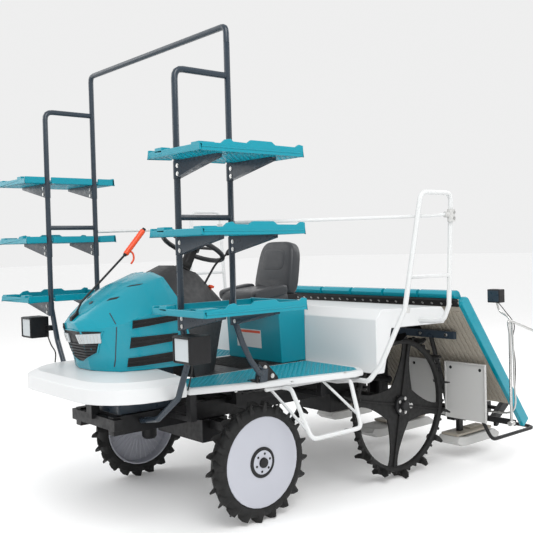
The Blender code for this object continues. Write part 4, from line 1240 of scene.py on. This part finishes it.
    def _top(self, skin: Skin) -> None:
        """Slots and a small lock on top.

        Args:
            skin: the bonnet's outside.
        """
        slots = []
        for s in (-1, 1):
            for near, far in (((0.122, -0.488), (0.167, -0.431)), ((0.113, -0.609), (0.16, -0.573))):
                loop = [(s * near[0], near[1], 2.0), (s * far[0], far[1], 2.0),
                        (s * far[0], far[1] + 0.020, 2.0),
                        (s * near[0], near[1] + 0.020, 2.0)]
                slots.append(skin.patch(loop, (0, 0, -1), 0.0010, 0.003, 8, 1))
        piece("bonnet_slots", slots, BLACK, self.body)
        hit, normal = skin.tree.ray_cast(Vector((0.0, -0.640, 2.0)), Vector((0, 0, -1)), 3.0)[:2]
        piece("bonnet_lock", [turned(hit - normal * 0.002, hit + normal,
                                     [(0, 0.001), (0, 0.013), (0.006, 0.012),
                                                                          (0.007, 0.001)], 20)], SLATE,
                                                                          self.body)


@dataclass
class Controls:
    """Levers, knobs and trim round the steering wheel, and the marker's grip."""

    def build(self) -> None:
        """Makes the levers, dash trim and grip."""
        lever = curved([(0.120, 0.024, 1.252), (0.121, 0.070, 1.318), (0.122, 0.128, 1.390),
                        (0.124, 0.225, 1.455)])
        piece("shift_lever", [tube(lever, 0.0065)], BLACK, "chassis", sharp=50)
        grip = [(-0.028, 0.001), (-0.028, 0.010), (-0.015, 0.016), (0.004, 0.019), (0.020, 0.014),
                (0.026, 0.001)]
        end, before = lever[-1], lever[-2]
        piece("shift_knob", [turned(end, end + (end - before), grip, 24)], BLACK, "chassis", sharp=60)
        knob = Vector((0.100, 0.095, 1.243))
        piece("stop_knob", [turned(knob, knob + Vector((0, 0.35, 1)),
                                   [(-0.03, 0.001), (-0.03, 0.005), (0, 0.006),
                                                                       (0.002, 0.017), (0.014, 0.018),
                                                                       (0.018, 0.001)], 24)],
              RED, "chassis", sharp=45)
        short = [(-0.115, 0.010, 1.262), (-0.118, 0.060, 1.335), (-0.120, 0.095, 1.372)]
        piece("side_lever", [tube(curved(short), 0.0055)], BLACK, "chassis", sharp=50)
        tip = Vector(short[-1])
        piece("side_lever_knob", [turned(tip, tip + Vector((0, 0.6, 0.7)),
                                         [(-0.012, 0.001), (-0.012, 0.011), (0.008, 0.015),
                                                                            (0.018, 0.001)], 20)], BLACK,
                                                                            "chassis")
        skin = Skin("dash_cover")
        dial = [(-0.075, -0.030, 2.0), (0.075, -0.030, 2.0), (0.070, 0.012, 2.0), (-0.070, 0.012, 2.0)]
        piece("dial_bezel", [skin.patch(dial, (0, 0, -1), 0.004, 0.006, 8, 4)], BLACK, "chassis", sharp=40)
        glass = [(-0.062, -0.024, 2.0), (0.062, -0.024, 2.0), (0.058, 0.006, 2.0), (-0.058, 0.006, 2.0)]
        piece("dial_glass", [skin.patch(glass, (0, 0, -1), 0.0055, 0.003, 8, 4)], SLATE, "chassis", sharp=40)
        boot = [(0.0, 0.040), (0.010, 0.052), (0.022, 0.040), (0.034, 0.048), (0.046, 0.036),
                (0.058, 0.042), (0.075, 0.034)]
        foot = Vector((0.0, -0.052, 1.330))
        way = Vector((0, math.sin(math.radians(27)), math.cos(math.radians(27))))
        piece("column_boot", [turned(foot, foot + way, boot, 24)], RUBBER, "chassis", sharp=60)
        start, finish = Vector((0, -0.418, 1.457)), Vector((0, -0.300, 1.589))
        sleeve = [(0.0, 0.001), (0.0, 0.0145), (0.01, 0.0165)]
        length = (finish - start).length
        for k in range(7):
            at = 0.02 + (length - 0.03) * k / 7
            sleeve += [(at, 0.0150), (at + 0.010, 0.0165)]
        sleeve += [(length, 0.0150), (length, 0.001)]
        hook = curved([(0.0, -0.398, 1.478), (0.0, -0.372, 1.462), (0.0, -0.366, 1.430),
                       (0.0, -0.384, 1.402)])
        piece("marker_grip", [turned(start, finish, sleeve, 20), tube(hook, 0.0055)], RED, "bonnet", sharp=60)


# ---------------------------------------------------------------- cabin
@dataclass
class Steps:
    """Diamond tread on the steps and a ribbed mat between them.

    Attributes:
        inset: plain edge round the tread.
        pitch: distance between two diamonds.
    """

    inset: float = 0.040
    pitch: float = 0.036

    def build(self) -> None:
        """Makes the tread of both steps and the mat."""
        for side, s in SIDES:
            loop, top = self._outline(f"step_{side}")
            pad = prism("z", top - 0.001, top + 0.0025, loop)
            piece(f"tread_{side}", [pad], TEAL_MOULDED, "chassis", bevel=0.0015)
            xs, ys = [x for x, _ in loop], [y for _, y in loop]
            spots = []
            rows, columns = int((max(ys) - min(ys)) / self.pitch), int((max(xs) - min(xs)) / self.pitch)
            for j in range(2 * rows):
                for i in range(columns):
                    x = min(xs) + (i + 0.5 + 0.5 * (j % 2)) * self.pitch
                    y = min(ys) + (j + 0.7) * self.pitch / 2
                    if self._inside(x, y, loop):
                        spots.append(AXLE.at(x, y, top + 0.0023))
            STUDS.run(f"tread_studs_{side}", [(spots, [])], {"Radius": 0.0160, "Height": 0.0030},
                      TEAL_MOULDED,
                      "chassis")
            bolts(f"step_bolts_{side}", [(s * 0.800, y, 0.7605) for y in (-0.28, 0.10, 0.50)], (0, 0, 1),
                  0.006,
                  "chassis")
        rib = block((-0.235, 0.235), (0.205 + AXLE.y, 0.211 + AXLE.y), (0.7602, 0.7632))
        ROWS.run("mat_ribs", [rib], {"Count A": 18, "Step A": (0, 0.0155, 0), "Count B": 1,
                                     "Step B": (0, 0, 0)},
                 RUBBER, "chassis")

    def _outline(self, node: str) -> tuple[Loop, float]:
        """The step's top drawn in from its edge.

        Args:
            node: the step's name.

        Returns:
            The outline and its height.
        """
        work = bmesh.new()
        work.from_mesh(frame["nodes"][node].data)
        bmesh.ops.remove_doubles(work, verts=work.verts, dist=2e-5)
        bmesh.ops.dissolve_limit(work, angle_limit=math.radians(1.0), verts=work.verts, edges=work.edges)
        bmesh.ops.recalc_face_normals(work, faces=work.faces)
        face = max((f for f in work.faces if f.normal.z > 0.9), key=lambda f: f.calc_area())
        others = [f for f in work.faces if f is not face]
        bmesh.ops.delete(work, geom=others, context="FACES")
        bmesh.ops.inset_region(work, faces=work.faces[:], thickness=self.inset, use_boundary=True)
        inner = max(work.faces, key=lambda f: f.calc_area())
        loop = [(vertex.co.x, vertex.co.y - AXLE.y) for vertex in inner.verts]
        top = inner.verts[0].co.z
        work.free()
        return loop, top

    @staticmethod
    def _inside(x: float, y: float, loop: Loop) -> bool:
        """Whether a place lies well inside an outline.

        Args:
            x: across the machine.
            y: along the machine.
            loop: the outline.

        Returns:
            True if a whole diamond fits there.
        """
        for dx, dy in ((-0.012, 0), (0.012, 0), (0, -0.016), (0, 0.016)):
            odd = False
            for (ax, ay), (bx, by) in zip(loop, loop[1:] + loop[:1]):
                if (ay > y + dy) != (by > y + dy) and x + dx < ax + (bx - ax) * (y + dy - ay) / (by - ay):
                    odd = not odd
            if not odd:
                return False
        return True


@dataclass
class Seat:
    """Padded cushion and back with stitched panels, on a moulded base.

    Attributes:
        half_x: half width of the cushion.
    """

    half_x: float = 0.200

    def build(self) -> None:
        """Makes the cushion, the back, their panels and the base's blank label."""
        cushion = piece("seat_cushion", [self._pillow((0, 0.512, 1.152), (self.half_x, 0.156, 0.066), 5,
                                                      0.93)], VINYL,
                        "chassis", sharp=80)
        back = piece("seat_back", [self._pillow((0, 0.716, 1.330), (0.190, 0.050, 0.180), -12, 0.84)], VINYL,
                     "chassis", sharp=80)
        stands_for("seat")
        panels = [self._pillow((0, 0.6855, 1.392), (0.112, 0.010, 0.072), -12, 0.94),
                  self._pillow((0, 0.6600, 1.252), (0.122, 0.010, 0.056), -12, 0.98)]
        piece("seat_back_panels", panels, VINYL, "chassis", sharp=80)
        bolster = [self._pillow((s * 0.162, 0.500, 1.192), (0.036, 0.135, 0.036), 8, 1.0) for s in (-1, 1)]
        piece("seat_bolsters", bolster, VINYL, "chassis", sharp=80)
        hinge = [block((s * 0.150 - 0.015, s * 0.150 + 0.015), (0.640, 0.735), (1.090, 1.175)) for s in (-1,
                                                                                                         1)]
        piece("seat_brackets", hinge + [block((-0.16, 0.16), (0.42, 0.68), (1.0853, 1.100))], BLACK,
              "chassis",
              bevel=0.004)
        label = Skin("seat_base")
        pane = [(-0.166, -0.5, 0.954), (0.079, -0.5, 0.954), (0.079, -0.5, 0.839), (-0.166, -0.5, 0.839)]
        piece("base_label", [label.patch(pane, (0, 1, 0), 0.0006, 0.0012, 4, 3)], WHITE, "chassis")
        line = [(-0.160, -0.5, 0.948), (0.073, -0.5, 0.948), (0.073, -0.5, 0.932), (-0.160, -0.5, 0.932)]
        piece("label_line", [label.patch(line, (0, 1, 0), 0.0011, 0.001, 4, 1)], RED, "chassis")

    @staticmethod
    def _pillow(middle: Point, half: Point, tilt: float, taper: float) -> Shape:
        """A boxy cushion with full, rounded sides.

        Args:
            middle: its middle.
            half: its half sizes.
            tilt: degrees it leans back, about the machine's cross axis.
            taper: width at its top over that at its foot.

        Returns:
            Points and faces.
        """
        def power(value: float, rate: float) -> float:
            """Signed power."""
            return math.copysign(abs(value) ** rate, value)

        turn = Matrix.Rotation(math.radians(tilt), 3, "X")
        rings = []
        for j in range(1, 16):
            lat = -math.pi / 2 + math.pi * j / 16
            loop = []
            for i in range(48):
                lon = 2 * math.pi * i / 48
                z = power(math.sin(lat), 0.55)
                wide = power(math.cos(lat), 0.40)
                narrow = 1 + (taper - 1) * (z + 1) / 2
                spot = Vector((half[0] * wide * narrow * power(math.cos(lon), 0.40),
                               half[1] * wide * power(math.sin(lon), 0.40), half[2] * z))
                loop.append(Vector(middle) + turn @ spot)
            rings.append(loop)
        return loft(rings)


@dataclass
class Lamps:
    """Front lamps on the rack and rear lamps on the planting unit."""

    def build(self) -> None:
        """Makes the lenses, hoods, stalks and cables."""
        for side, s in SIDES:
            low, high = node_box(f"front_lamp_{side}")
            front = low.y
            x0, x1 = sorted((s * 0.806, s * 0.923))
            piece(f"front_lens_{side}", [block((x0, x1), (front - 0.003, front + 0.004), (0.957, 1.063))],
                  LENS,
                  "chassis", bevel=0.003)
            hood = [block((x0 - 0.007, x1 + 0.007), (front - 0.010, front + 0.004), (1.063, 1.073)),
                    block((x0 - 0.009, x0 - 0.001), (front - 0.008, front + 0.004), (0.950, 1.070)),
                    block((x1 + 0.001, x1 + 0.009), (front - 0.008, front + 0.004), (0.950, 1.070))]
            piece(f"front_hood_{side}", hood, BLACK, "chassis", bevel=0.002)
            cable = curved([(s * 0.800, front + 0.10, 0.975), (s * 0.775, front + 0.115, 0.900),
                            (s * 0.742, -0.510, 0.850), (s * 0.728, -0.520, 0.790)])
            piece(f"lamp_cable_{side}", [tube(cable, 0.004)], RUBBER, "chassis", sharp=60)
            box_x = sorted((s * 0.955, s * 1.045))
            body = [block(tuple(box_x), (1.655, 1.715), (1.085, 1.170)),
                    block((box_x[0] + 0.02, box_x[1] - 0.02), (1.715, 1.728), (1.105, 1.150))]
            piece(f"rear_lamp_{side}", body, BLACK, "planter", bevel=0.004)
            piece(f"rear_lens_{side}", [block((box_x[0] + 0.006, box_x[1] - 0.006), (1.651, 1.657),
                                              (1.092, 1.163))],
                  SLATE, "planter", bevel=0.002)
            stalk = curved([(s * 1.000, 1.690, 1.090), (s * 1.020, 1.695, 1.030), (s * 1.085, 1.700, 0.985),
                            (s * 1.104, 1.700, 0.900), (s * 1.104, 1.712, 0.600), (s * 1.090, 1.716, 0.400),
                            (s * 0.900, 1.720, 0.366)])
            piece(f"rear_stalk_{side}", [tube(stalk, 0.006)], STEEL, "planter", sharp=60)
            wire = curved([(s * 1.000, 1.700, 1.090), (s * 1.050, 1.708, 1.030), (s * 1.114, 1.706, 0.950),
                           (s * 1.098, 1.712, 0.850), (s * 1.112, 1.716, 0.700), (s * 1.100, 1.722, 0.480)])
            piece(f"rear_wire_{side}", [tube(wire, 0.0028)], RUBBER, "planter", sharp=60)


@dataclass
class Deck:
    """Liner under the rear deck, and the handrails' clamps."""

    def build(self) -> None:
        """Makes the liner, clamps and clamp bolts."""
        for side, s in SIDES:
            x = sorted((s * 0.300, s * 0.845))
            piece(f"arch_liner_{side}", [block(tuple(x), (0.845, 1.318), (0.978, 0.984)),
                                         block(tuple(x), (0.779, 0.784), (0.765, 0.980))], RUBBER, "chassis")
            high = tube([(s * 1.1105, 1.085, 1.596), (s * 1.1105, 1.085, 1.668)], 0.0225, 20)
            arm = tube([(s * 1.108, 1.080, 1.636), (s * 1.094, 1.045, 1.638)], 0.017, 16)
            foot = tube([(s * 1.045, 0.748, 1.090), (s * 1.047, 0.752, 1.118)], 0.0185, 16)
            piece(f"rail_clamps_{side}", [high, arm, foot], GREY, "chassis", sharp=40)
            bolts(f"clamp_bolts_{side}", [(s * 1.134, 1.085, 1.615), (s * 1.134, 1.085, 1.650)], (s, 0, 0),
                  0.006,
                  "chassis")

# ---------------------------------------------------------------- planting unit
@dataclass
class Table:
    """Seedling table: teal frames and caps, ribbed underside and feed belts.

    Attributes:
        top: y and z of the plate's upper edge.
        angle: slope of the plate.
        length: length of the plate down the slope.
        thick: thickness of the plate.
        frame_length: length of a side frame.
        half_x: inner face of a side frame.
        frame_t: thickness of a side frame.
        shoe_h: height of the shoe that rides on the rail.
        rail_r: radius of the rail.
        rows: seedling rows.
        pitch: distance between two rows.
        body: the body it rides on.
    """

    top: tuple[float, float] = (1.430, 1.120)
    angle: float = math.radians(52.6)
    length: float = 0.900
    thick: float = 0.035
    frame_length: float = 1.110
    half_x: float = 0.910
    frame_t: float = 0.035
    shoe_h: float = 0.010
    rail_r: float = 0.018
    rows: int = 6
    pitch: float = 0.300
    body: str = "seedling_table"

    def build(self) -> None:
        """Makes the frames, plate, caps, ribs and belts."""
        self._frames()
        self._caps()
        self._ribs()
        self._belts()

    def place(self, along: float, above: float) -> tuple[float, float]:
        """A place down the slope and above the plate, as y and z."""
        return (self.top[0] + along * math.cos(self.angle) + above * math.sin(self.angle),
                self.top[1] - along * math.sin(self.angle) + above * math.cos(self.angle))

    def slab(self, x: tuple[float, float], along: tuple[float, float], above: tuple[float, float]) -> Shape:
        """A box in the table's slope.

        Args:
            x: its sides.
            along: where it starts and ends down the slope.
            above: its underside and top, above the plate.

        Returns:
            Points and faces.
        """
        (a, b), (low, high) = along, above
        return prism("x", x[0], x[1], [self.place(a, low), self.place(b, low), self.place(b, high),
                                       self.place(a, high)])

    def _frames(self) -> None:
        """Side frames with a rounded head, the plate and its dividers."""
        outline = []
        for k in range(9):
            a = math.pi / 2 + math.pi * k / 8
            outline.append(self.place(0.027 + 0.0375 * math.cos(a), -0.0025 + 0.0375 * math.sin(a)))
        outline += [self.place(self.frame_length, -0.040), self.place(self.frame_length, 0.035)]
        sides = [prism("x", *sorted((s * self.half_x, s * (self.half_x + self.frame_t))), outline) for _,
                 s in SIDES]
        frames = piece("table_frames", sides, TEAL, self.body, bevel=0.006)
        stands_for("seedling_table")
        plate = self.slab((-self.half_x - 0.004, self.half_x + 0.004), (0.0, self.length), (-self.thick, 0.0))
        shoe = self.slab((-0.50, 0.50), (0.22, 0.28), (-self.thick - self.shoe_h, -self.thick + 0.002))
        piece("table_plate", [plate], BEIGE, self.body, bevel=0.002)
        piece("table_shoe", [shoe], BLACK, self.body, bevel=0.002)
        fins = []
        for row in range(1, self.rows):
            x = (row - self.rows / 2) * self.pitch
            fins.append(self.slab((x - 0.010, x + 0.010), (0.02, 0.85), (-0.01, 0.022)))
        piece("table_fins", fins, TEAL_MOULDED, self.body, bevel=0.003)

    def _caps(self) -> None:
        """Six caps over a dark bar with small screws."""
        profile = [(0.004, -0.020), (0.036, -0.010), (0.038, 0.016), (0.026, 0.036), (-0.022, 0.042),
                   (-0.046, 0.030),
                   (-0.056, 0.006), (-0.048, -0.014), (-0.026, -0.020)]
        cap = prism("x", -self.pitch * 2.5 - 0.139, -self.pitch * 2.5 + 0.139,
                    [(y + AXLE.y, z) for y, z in (self.place(a, h) for a, h in profile)])
        ROWS.run("table_caps", [cap], {"Count A": self.rows, "Step A": (self.pitch, 0, 0), "Count B": 1,
                                       "Step B": (0, 0, 0)}, TEAL, self.body, sharp=50)
        bar = self.slab((-self.half_x, self.half_x), (-0.022, 0.032), (-0.042, -0.021))
        piece("table_bar", [bar], BLACK, self.body, bevel=0.003)
        y, z = self.place(0.006, -0.0425)
        spots = [((k - 11.5) * 0.075, y, z) for k in range(24)]
        bolts("table_bar_screws", spots, (0, -math.sin(self.angle), -math.cos(self.angle)), 0.0055, self.body)

    def _ribs(self) -> None:
        """Ribs down the underside."""
        low = -self.thick - 0.007
        loop = [(y + AXLE.y, z) for y, z in (self.place(a, h) for a, h in
                                             ((0.075, -self.thick + 0.001), (0.080, low), (0.880, low),
                                              (0.885, -self.thick + 0.001)))]
        for name, start, count in (("left", 0.512, 11), ("right", -0.894, 11)):
            rib = prism("x", start, start + 0.020, loop)
            ROWS.run(f"table_ribs_{name}", [rib], {"Count A": count, "Step A": (0.0362, 0, 0), "Count B": 1,
                                                   "Step B": (0, 0, 0)}, BEIGE, self.body)
        for name, near, far in (("upper", 0.075, 0.205), ("lower", 0.295, 0.885)):
            loop = [(y + AXLE.y, z) for y, z in (self.place(a, h) for a, h in
                                                 ((near, -self.thick + 0.001), (near + 0.005, low),
                                                  (far - 0.005, low),
                                                  (far, -self.thick + 0.001)))]
            rib = prism("x", -0.4976, -0.4776, loop)
            ROWS.run(f"table_ribs_{name}", [rib], {"Count A": 28, "Step A": (0.0362, 0, 0), "Count B": 1,
                                                   "Step B": (0, 0, 0)}, BEIGE, self.body)

    def _belts(self) -> None:
        """Two ribbed feed belts in each row, and a retaining rod above the mats."""
        first = -self.pitch * 2.5
        for k, shift in enumerate((-0.060, 0.060)):
            strip = self.slab((first + shift - 0.028, first + shift + 0.028), (0.50, 0.84), (-0.001, 0.003))
            moved = ([(p[0], p[1] + AXLE.y, p[2]) for p in strip[0]], strip[1])
            ROWS.run(f"belts_{k + 1}", [moved], {"Count A": self.rows, "Step A": (self.pitch, 0, 0),
                                                 "Count B": 1,
                                                 "Step B": (0, 0, 0)}, CHARCOAL, self.body)
            lug = self.slab((first + shift - 0.024, first + shift + 0.024), (0.515, 0.523), (0.003, 0.009))
            moved = ([(p[0], p[1] + AXLE.y, p[2]) for p in lug[0]], lug[1])
            step = 0.030
            ROWS.run(f"belt_lugs_{k + 1}", [moved],
                     {"Count A": self.rows, "Step A": (self.pitch, 0, 0), "Count B": 11,
                      "Step B": (0, step * math.cos(self.angle), -step * math.sin(self.angle))}, RUBBER,
                      self.body)
        rod = [(-self.half_x, *self.place(0.62, 0.030)), (self.half_x, *self.place(0.62, 0.030))]
        piece("mat_rod", [tube(rod, 0.004)], STEEL, self.body, sharp=50)


@dataclass
class Planting:
    """Small parts of the planting unit."""

    def build(self) -> None:
        """Makes flanges, holes and bolts of the guards, and tops of the floats."""
        table = Table()
        y, z = table.place(0.25, -table.thick - table.shoe_h - table.rail_r)
        piece("table_rail", [block((-0.80, 0.80), (y - 0.024, y + 0.004), (z - 0.034, z + 0.016))], SLATE,
              "planter",
              bevel=0.003)
        bolts("table_rail_bolts", [((k - 3.5) * 0.21, y - 0.024, z - 0.009) for k in range(8)], (0, -1, 0),
              0.008,
              "planter")
        for side, s in SIDES:
            holes, edges = [], []
            for x in (0.345, 0.520, 0.655, 0.885):
                at = Vector((s * x, 1.6588, 0.640))
                holes.append(turned(at, at - Vector((0, 1, 0)),
                                    [(-0.001, 0.001), (-0.001, 0.011), (0.0008, 0.011),
                                                                (0.0008, 0.001)], 20))
            for low, high in ((0.300, 0.565), (0.610, 0.930)):
                x = sorted((s * (low + 0.0005), s * (high - 0.0005)))
                edges.append(block(tuple(x), (1.649, 1.660), (0.672, 0.6795)))
                for inner in (low + 0.0005, high - 0.0085):
                    e = sorted((s * inner, s * (inner + 0.008)))
                    edges.append(block(tuple(e), (1.649, 1.660), (0.3005, 0.675)))
            piece(f"guard_holes_{side}", holes, BLACK, "planter")
            piece(f"guard_flanges_{side}", edges, GREY, "planter", bevel=0.002)
        for name, x, half in (("centre", 0.0, 0.105), ("left", 0.600, 0.085), ("right", -0.600, 0.085)):
            shapes = [block((x - half * 0.80, x + half * 0.80), (1.705, 2.100), (0.1595, 0.176)),
                      block((x - half * 0.35, x + half * 0.35), (1.90, 2.06), (0.175, 0.186))]
            piece(f"float_top_{name}", shapes, BEIGE, "planter", bevel=0.004)
            case = [block((x - 0.042, x + 0.042), (1.775, 1.885), (0.322, 0.368)),
                    block((x - 0.026, x + 0.026), (1.800, 1.860), (0.366, 0.382))]
            piece(f"planting_case_{name}", case, STEEL, "planter", bevel=0.005)
            bolts(f"case_bolts_{name}", [(x + dx, y, 0.368) for dx in (-0.034, 0.034) for y in (1.783,
                                                                                                1.877)],
                  (0, 0, 1), 0.005, "planter")


# ---------------------------------------------------------------- studio
@dataclass
class Studio:
    """Camera, floor and soft lights.

    Attributes:
        eye: the camera's place from the front axle.
        azimuth: degrees it looks round from straight back.
        pitch: degrees it looks up.
        roll: degrees it leans.
        lens: focal length in millimetres.
        sensor: sensor width in millimetres.
        floor_side: side of the floor.
    """

    eye: Point = (3.910, -2.690, 1.478)
    azimuth: float = 49.766
    pitch: float = -1.42
    roll: float = -1.492
    lens: float = 53.446
    sensor: float = 36.0
    floor_side: float = 160.0

    def build(self) -> None:
        """Makes the camera, the floor and the lights."""
        self._camera()
        self._floor()
        self._lights()

    def _camera(self) -> None:
        """Puts the camera at its place, looking along its azimuth and pitch."""
        az, pitch, roll = (math.radians(v) for v in (self.azimuth, self.pitch, self.roll))
        ahead = Vector((-math.sin(az) * math.cos(pitch), math.cos(az) * math.cos(pitch), math.sin(pitch)))
        right = Vector((math.cos(az), math.sin(az), 0))
        up = right.cross(ahead)
        across = right * math.cos(roll) + up * math.sin(roll)
        over = up * math.cos(roll) - right * math.sin(roll)
        data = bpy.data.cameras.new("camera")
        data.lens = self.lens
        data.sensor_width = self.sensor
        data.clip_end = 200
        camera = bpy.data.objects.new("camera", data)
        turn = Matrix((across, over, -ahead)).transposed().to_4x4()
        camera.matrix_world = Matrix.Translation(AXLE.at(*self.eye)) @ turn
        bpy.context.scene.collection.objects.link(camera)
        bpy.context.scene.camera = camera

    def _floor(self) -> None:
        """Pale floor."""
        half = self.floor_side / 2
        mesh = bpy.data.meshes.new("floor_plane")
        mesh.from_pydata([(-half, -half, 0), (half, -half, 0), (half, half, 0), (-half, half, 0)], [],
                         [(0, 1, 2, 3)])
        plane = bpy.data.objects.new("floor_plane", mesh)
        bpy.context.scene.collection.objects.link(plane)
        pale = bpy.data.materials.new("pale floor")
        pale.use_nodes = True
        shader = pale.node_tree.nodes["Principled BSDF"]
        shader.inputs["Base Color"].default_value = (0.93, 0.93, 0.93, 1)
        shader.inputs["Roughness"].default_value = 0.9
        shader.inputs["Emission Color"].default_value = (1, 1, 1, 1)
        shader.inputs["Emission Strength"].default_value = 0.10
        plane.data.materials.append(pale)

    def _lights(self) -> None:
        """Bright surroundings and three wide soft lights."""
        world = bpy.data.worlds.new("studio")
        world.use_nodes = True
        shade = world.node_tree.nodes["Background"]
        shade.inputs["Color"].default_value = (1.0, 1.0, 1.0, 1)
        shade.inputs["Strength"].default_value = 0.86
        bpy.context.scene.world = world
        bpy.context.scene.view_settings.view_transform = "Standard"
        target = Vector((0, 0, 1.0))
        for name, place, side, power in (("key", (4.5, -3.0, 6.0), 4.0, 300.0),
                                         ("fill", (-5.0, -4.0, 4.0), 5.0, 110.0),
                                         ("rim", (2.0, 6.0, 5.0), 4.0, 130.0)):
            data = bpy.data.lights.new(name, "AREA")
            data.size = side
            data.energy = power
            lamp = bpy.data.objects.new(name, data)
            lamp.location = place
            lamp.rotation_euler = (target - lamp.location).to_track_quat("-Z", "Y").to_euler()
            bpy.context.scene.collection.objects.link(lamp)


@dataclass
class Carriers:
    """Nodes whose own shape is kept, with rounded edges and a finish.

    Attributes:
        done: nodes that another piece already stands for.
    """

    done: set[str] = field(default_factory=lambda: set(REPLACED))

    def build(self) -> None:
        """Refines each node that no other class has replaced."""
        for node in frame["nodes"]:
            if node in self.done:
                continue
            finish, bevel = BLACK, 0.003
            for start, named, width in NODE_FINISHES:
                if node.startswith(start):
                    finish, bevel = named, width
                    break
            refined(node, finish, bevel)


def main() -> None:
    """Builds the sub-assemblies in order."""
    logging.basicConfig(level=logging.INFO, format="%(message)s")
    Studio().build()
    for side, s in SIDES:
        FrontWheel(side, s).build()
        RearWheel(side, s).build()
    for part in (Rack(), Bonnet(), Controls(), Steps(), Seat(), Lamps(), Deck(), Table(), Planting()):
        part.build()
    Carriers().build()
    write_size()


if __name__ == "__main__":
    main()
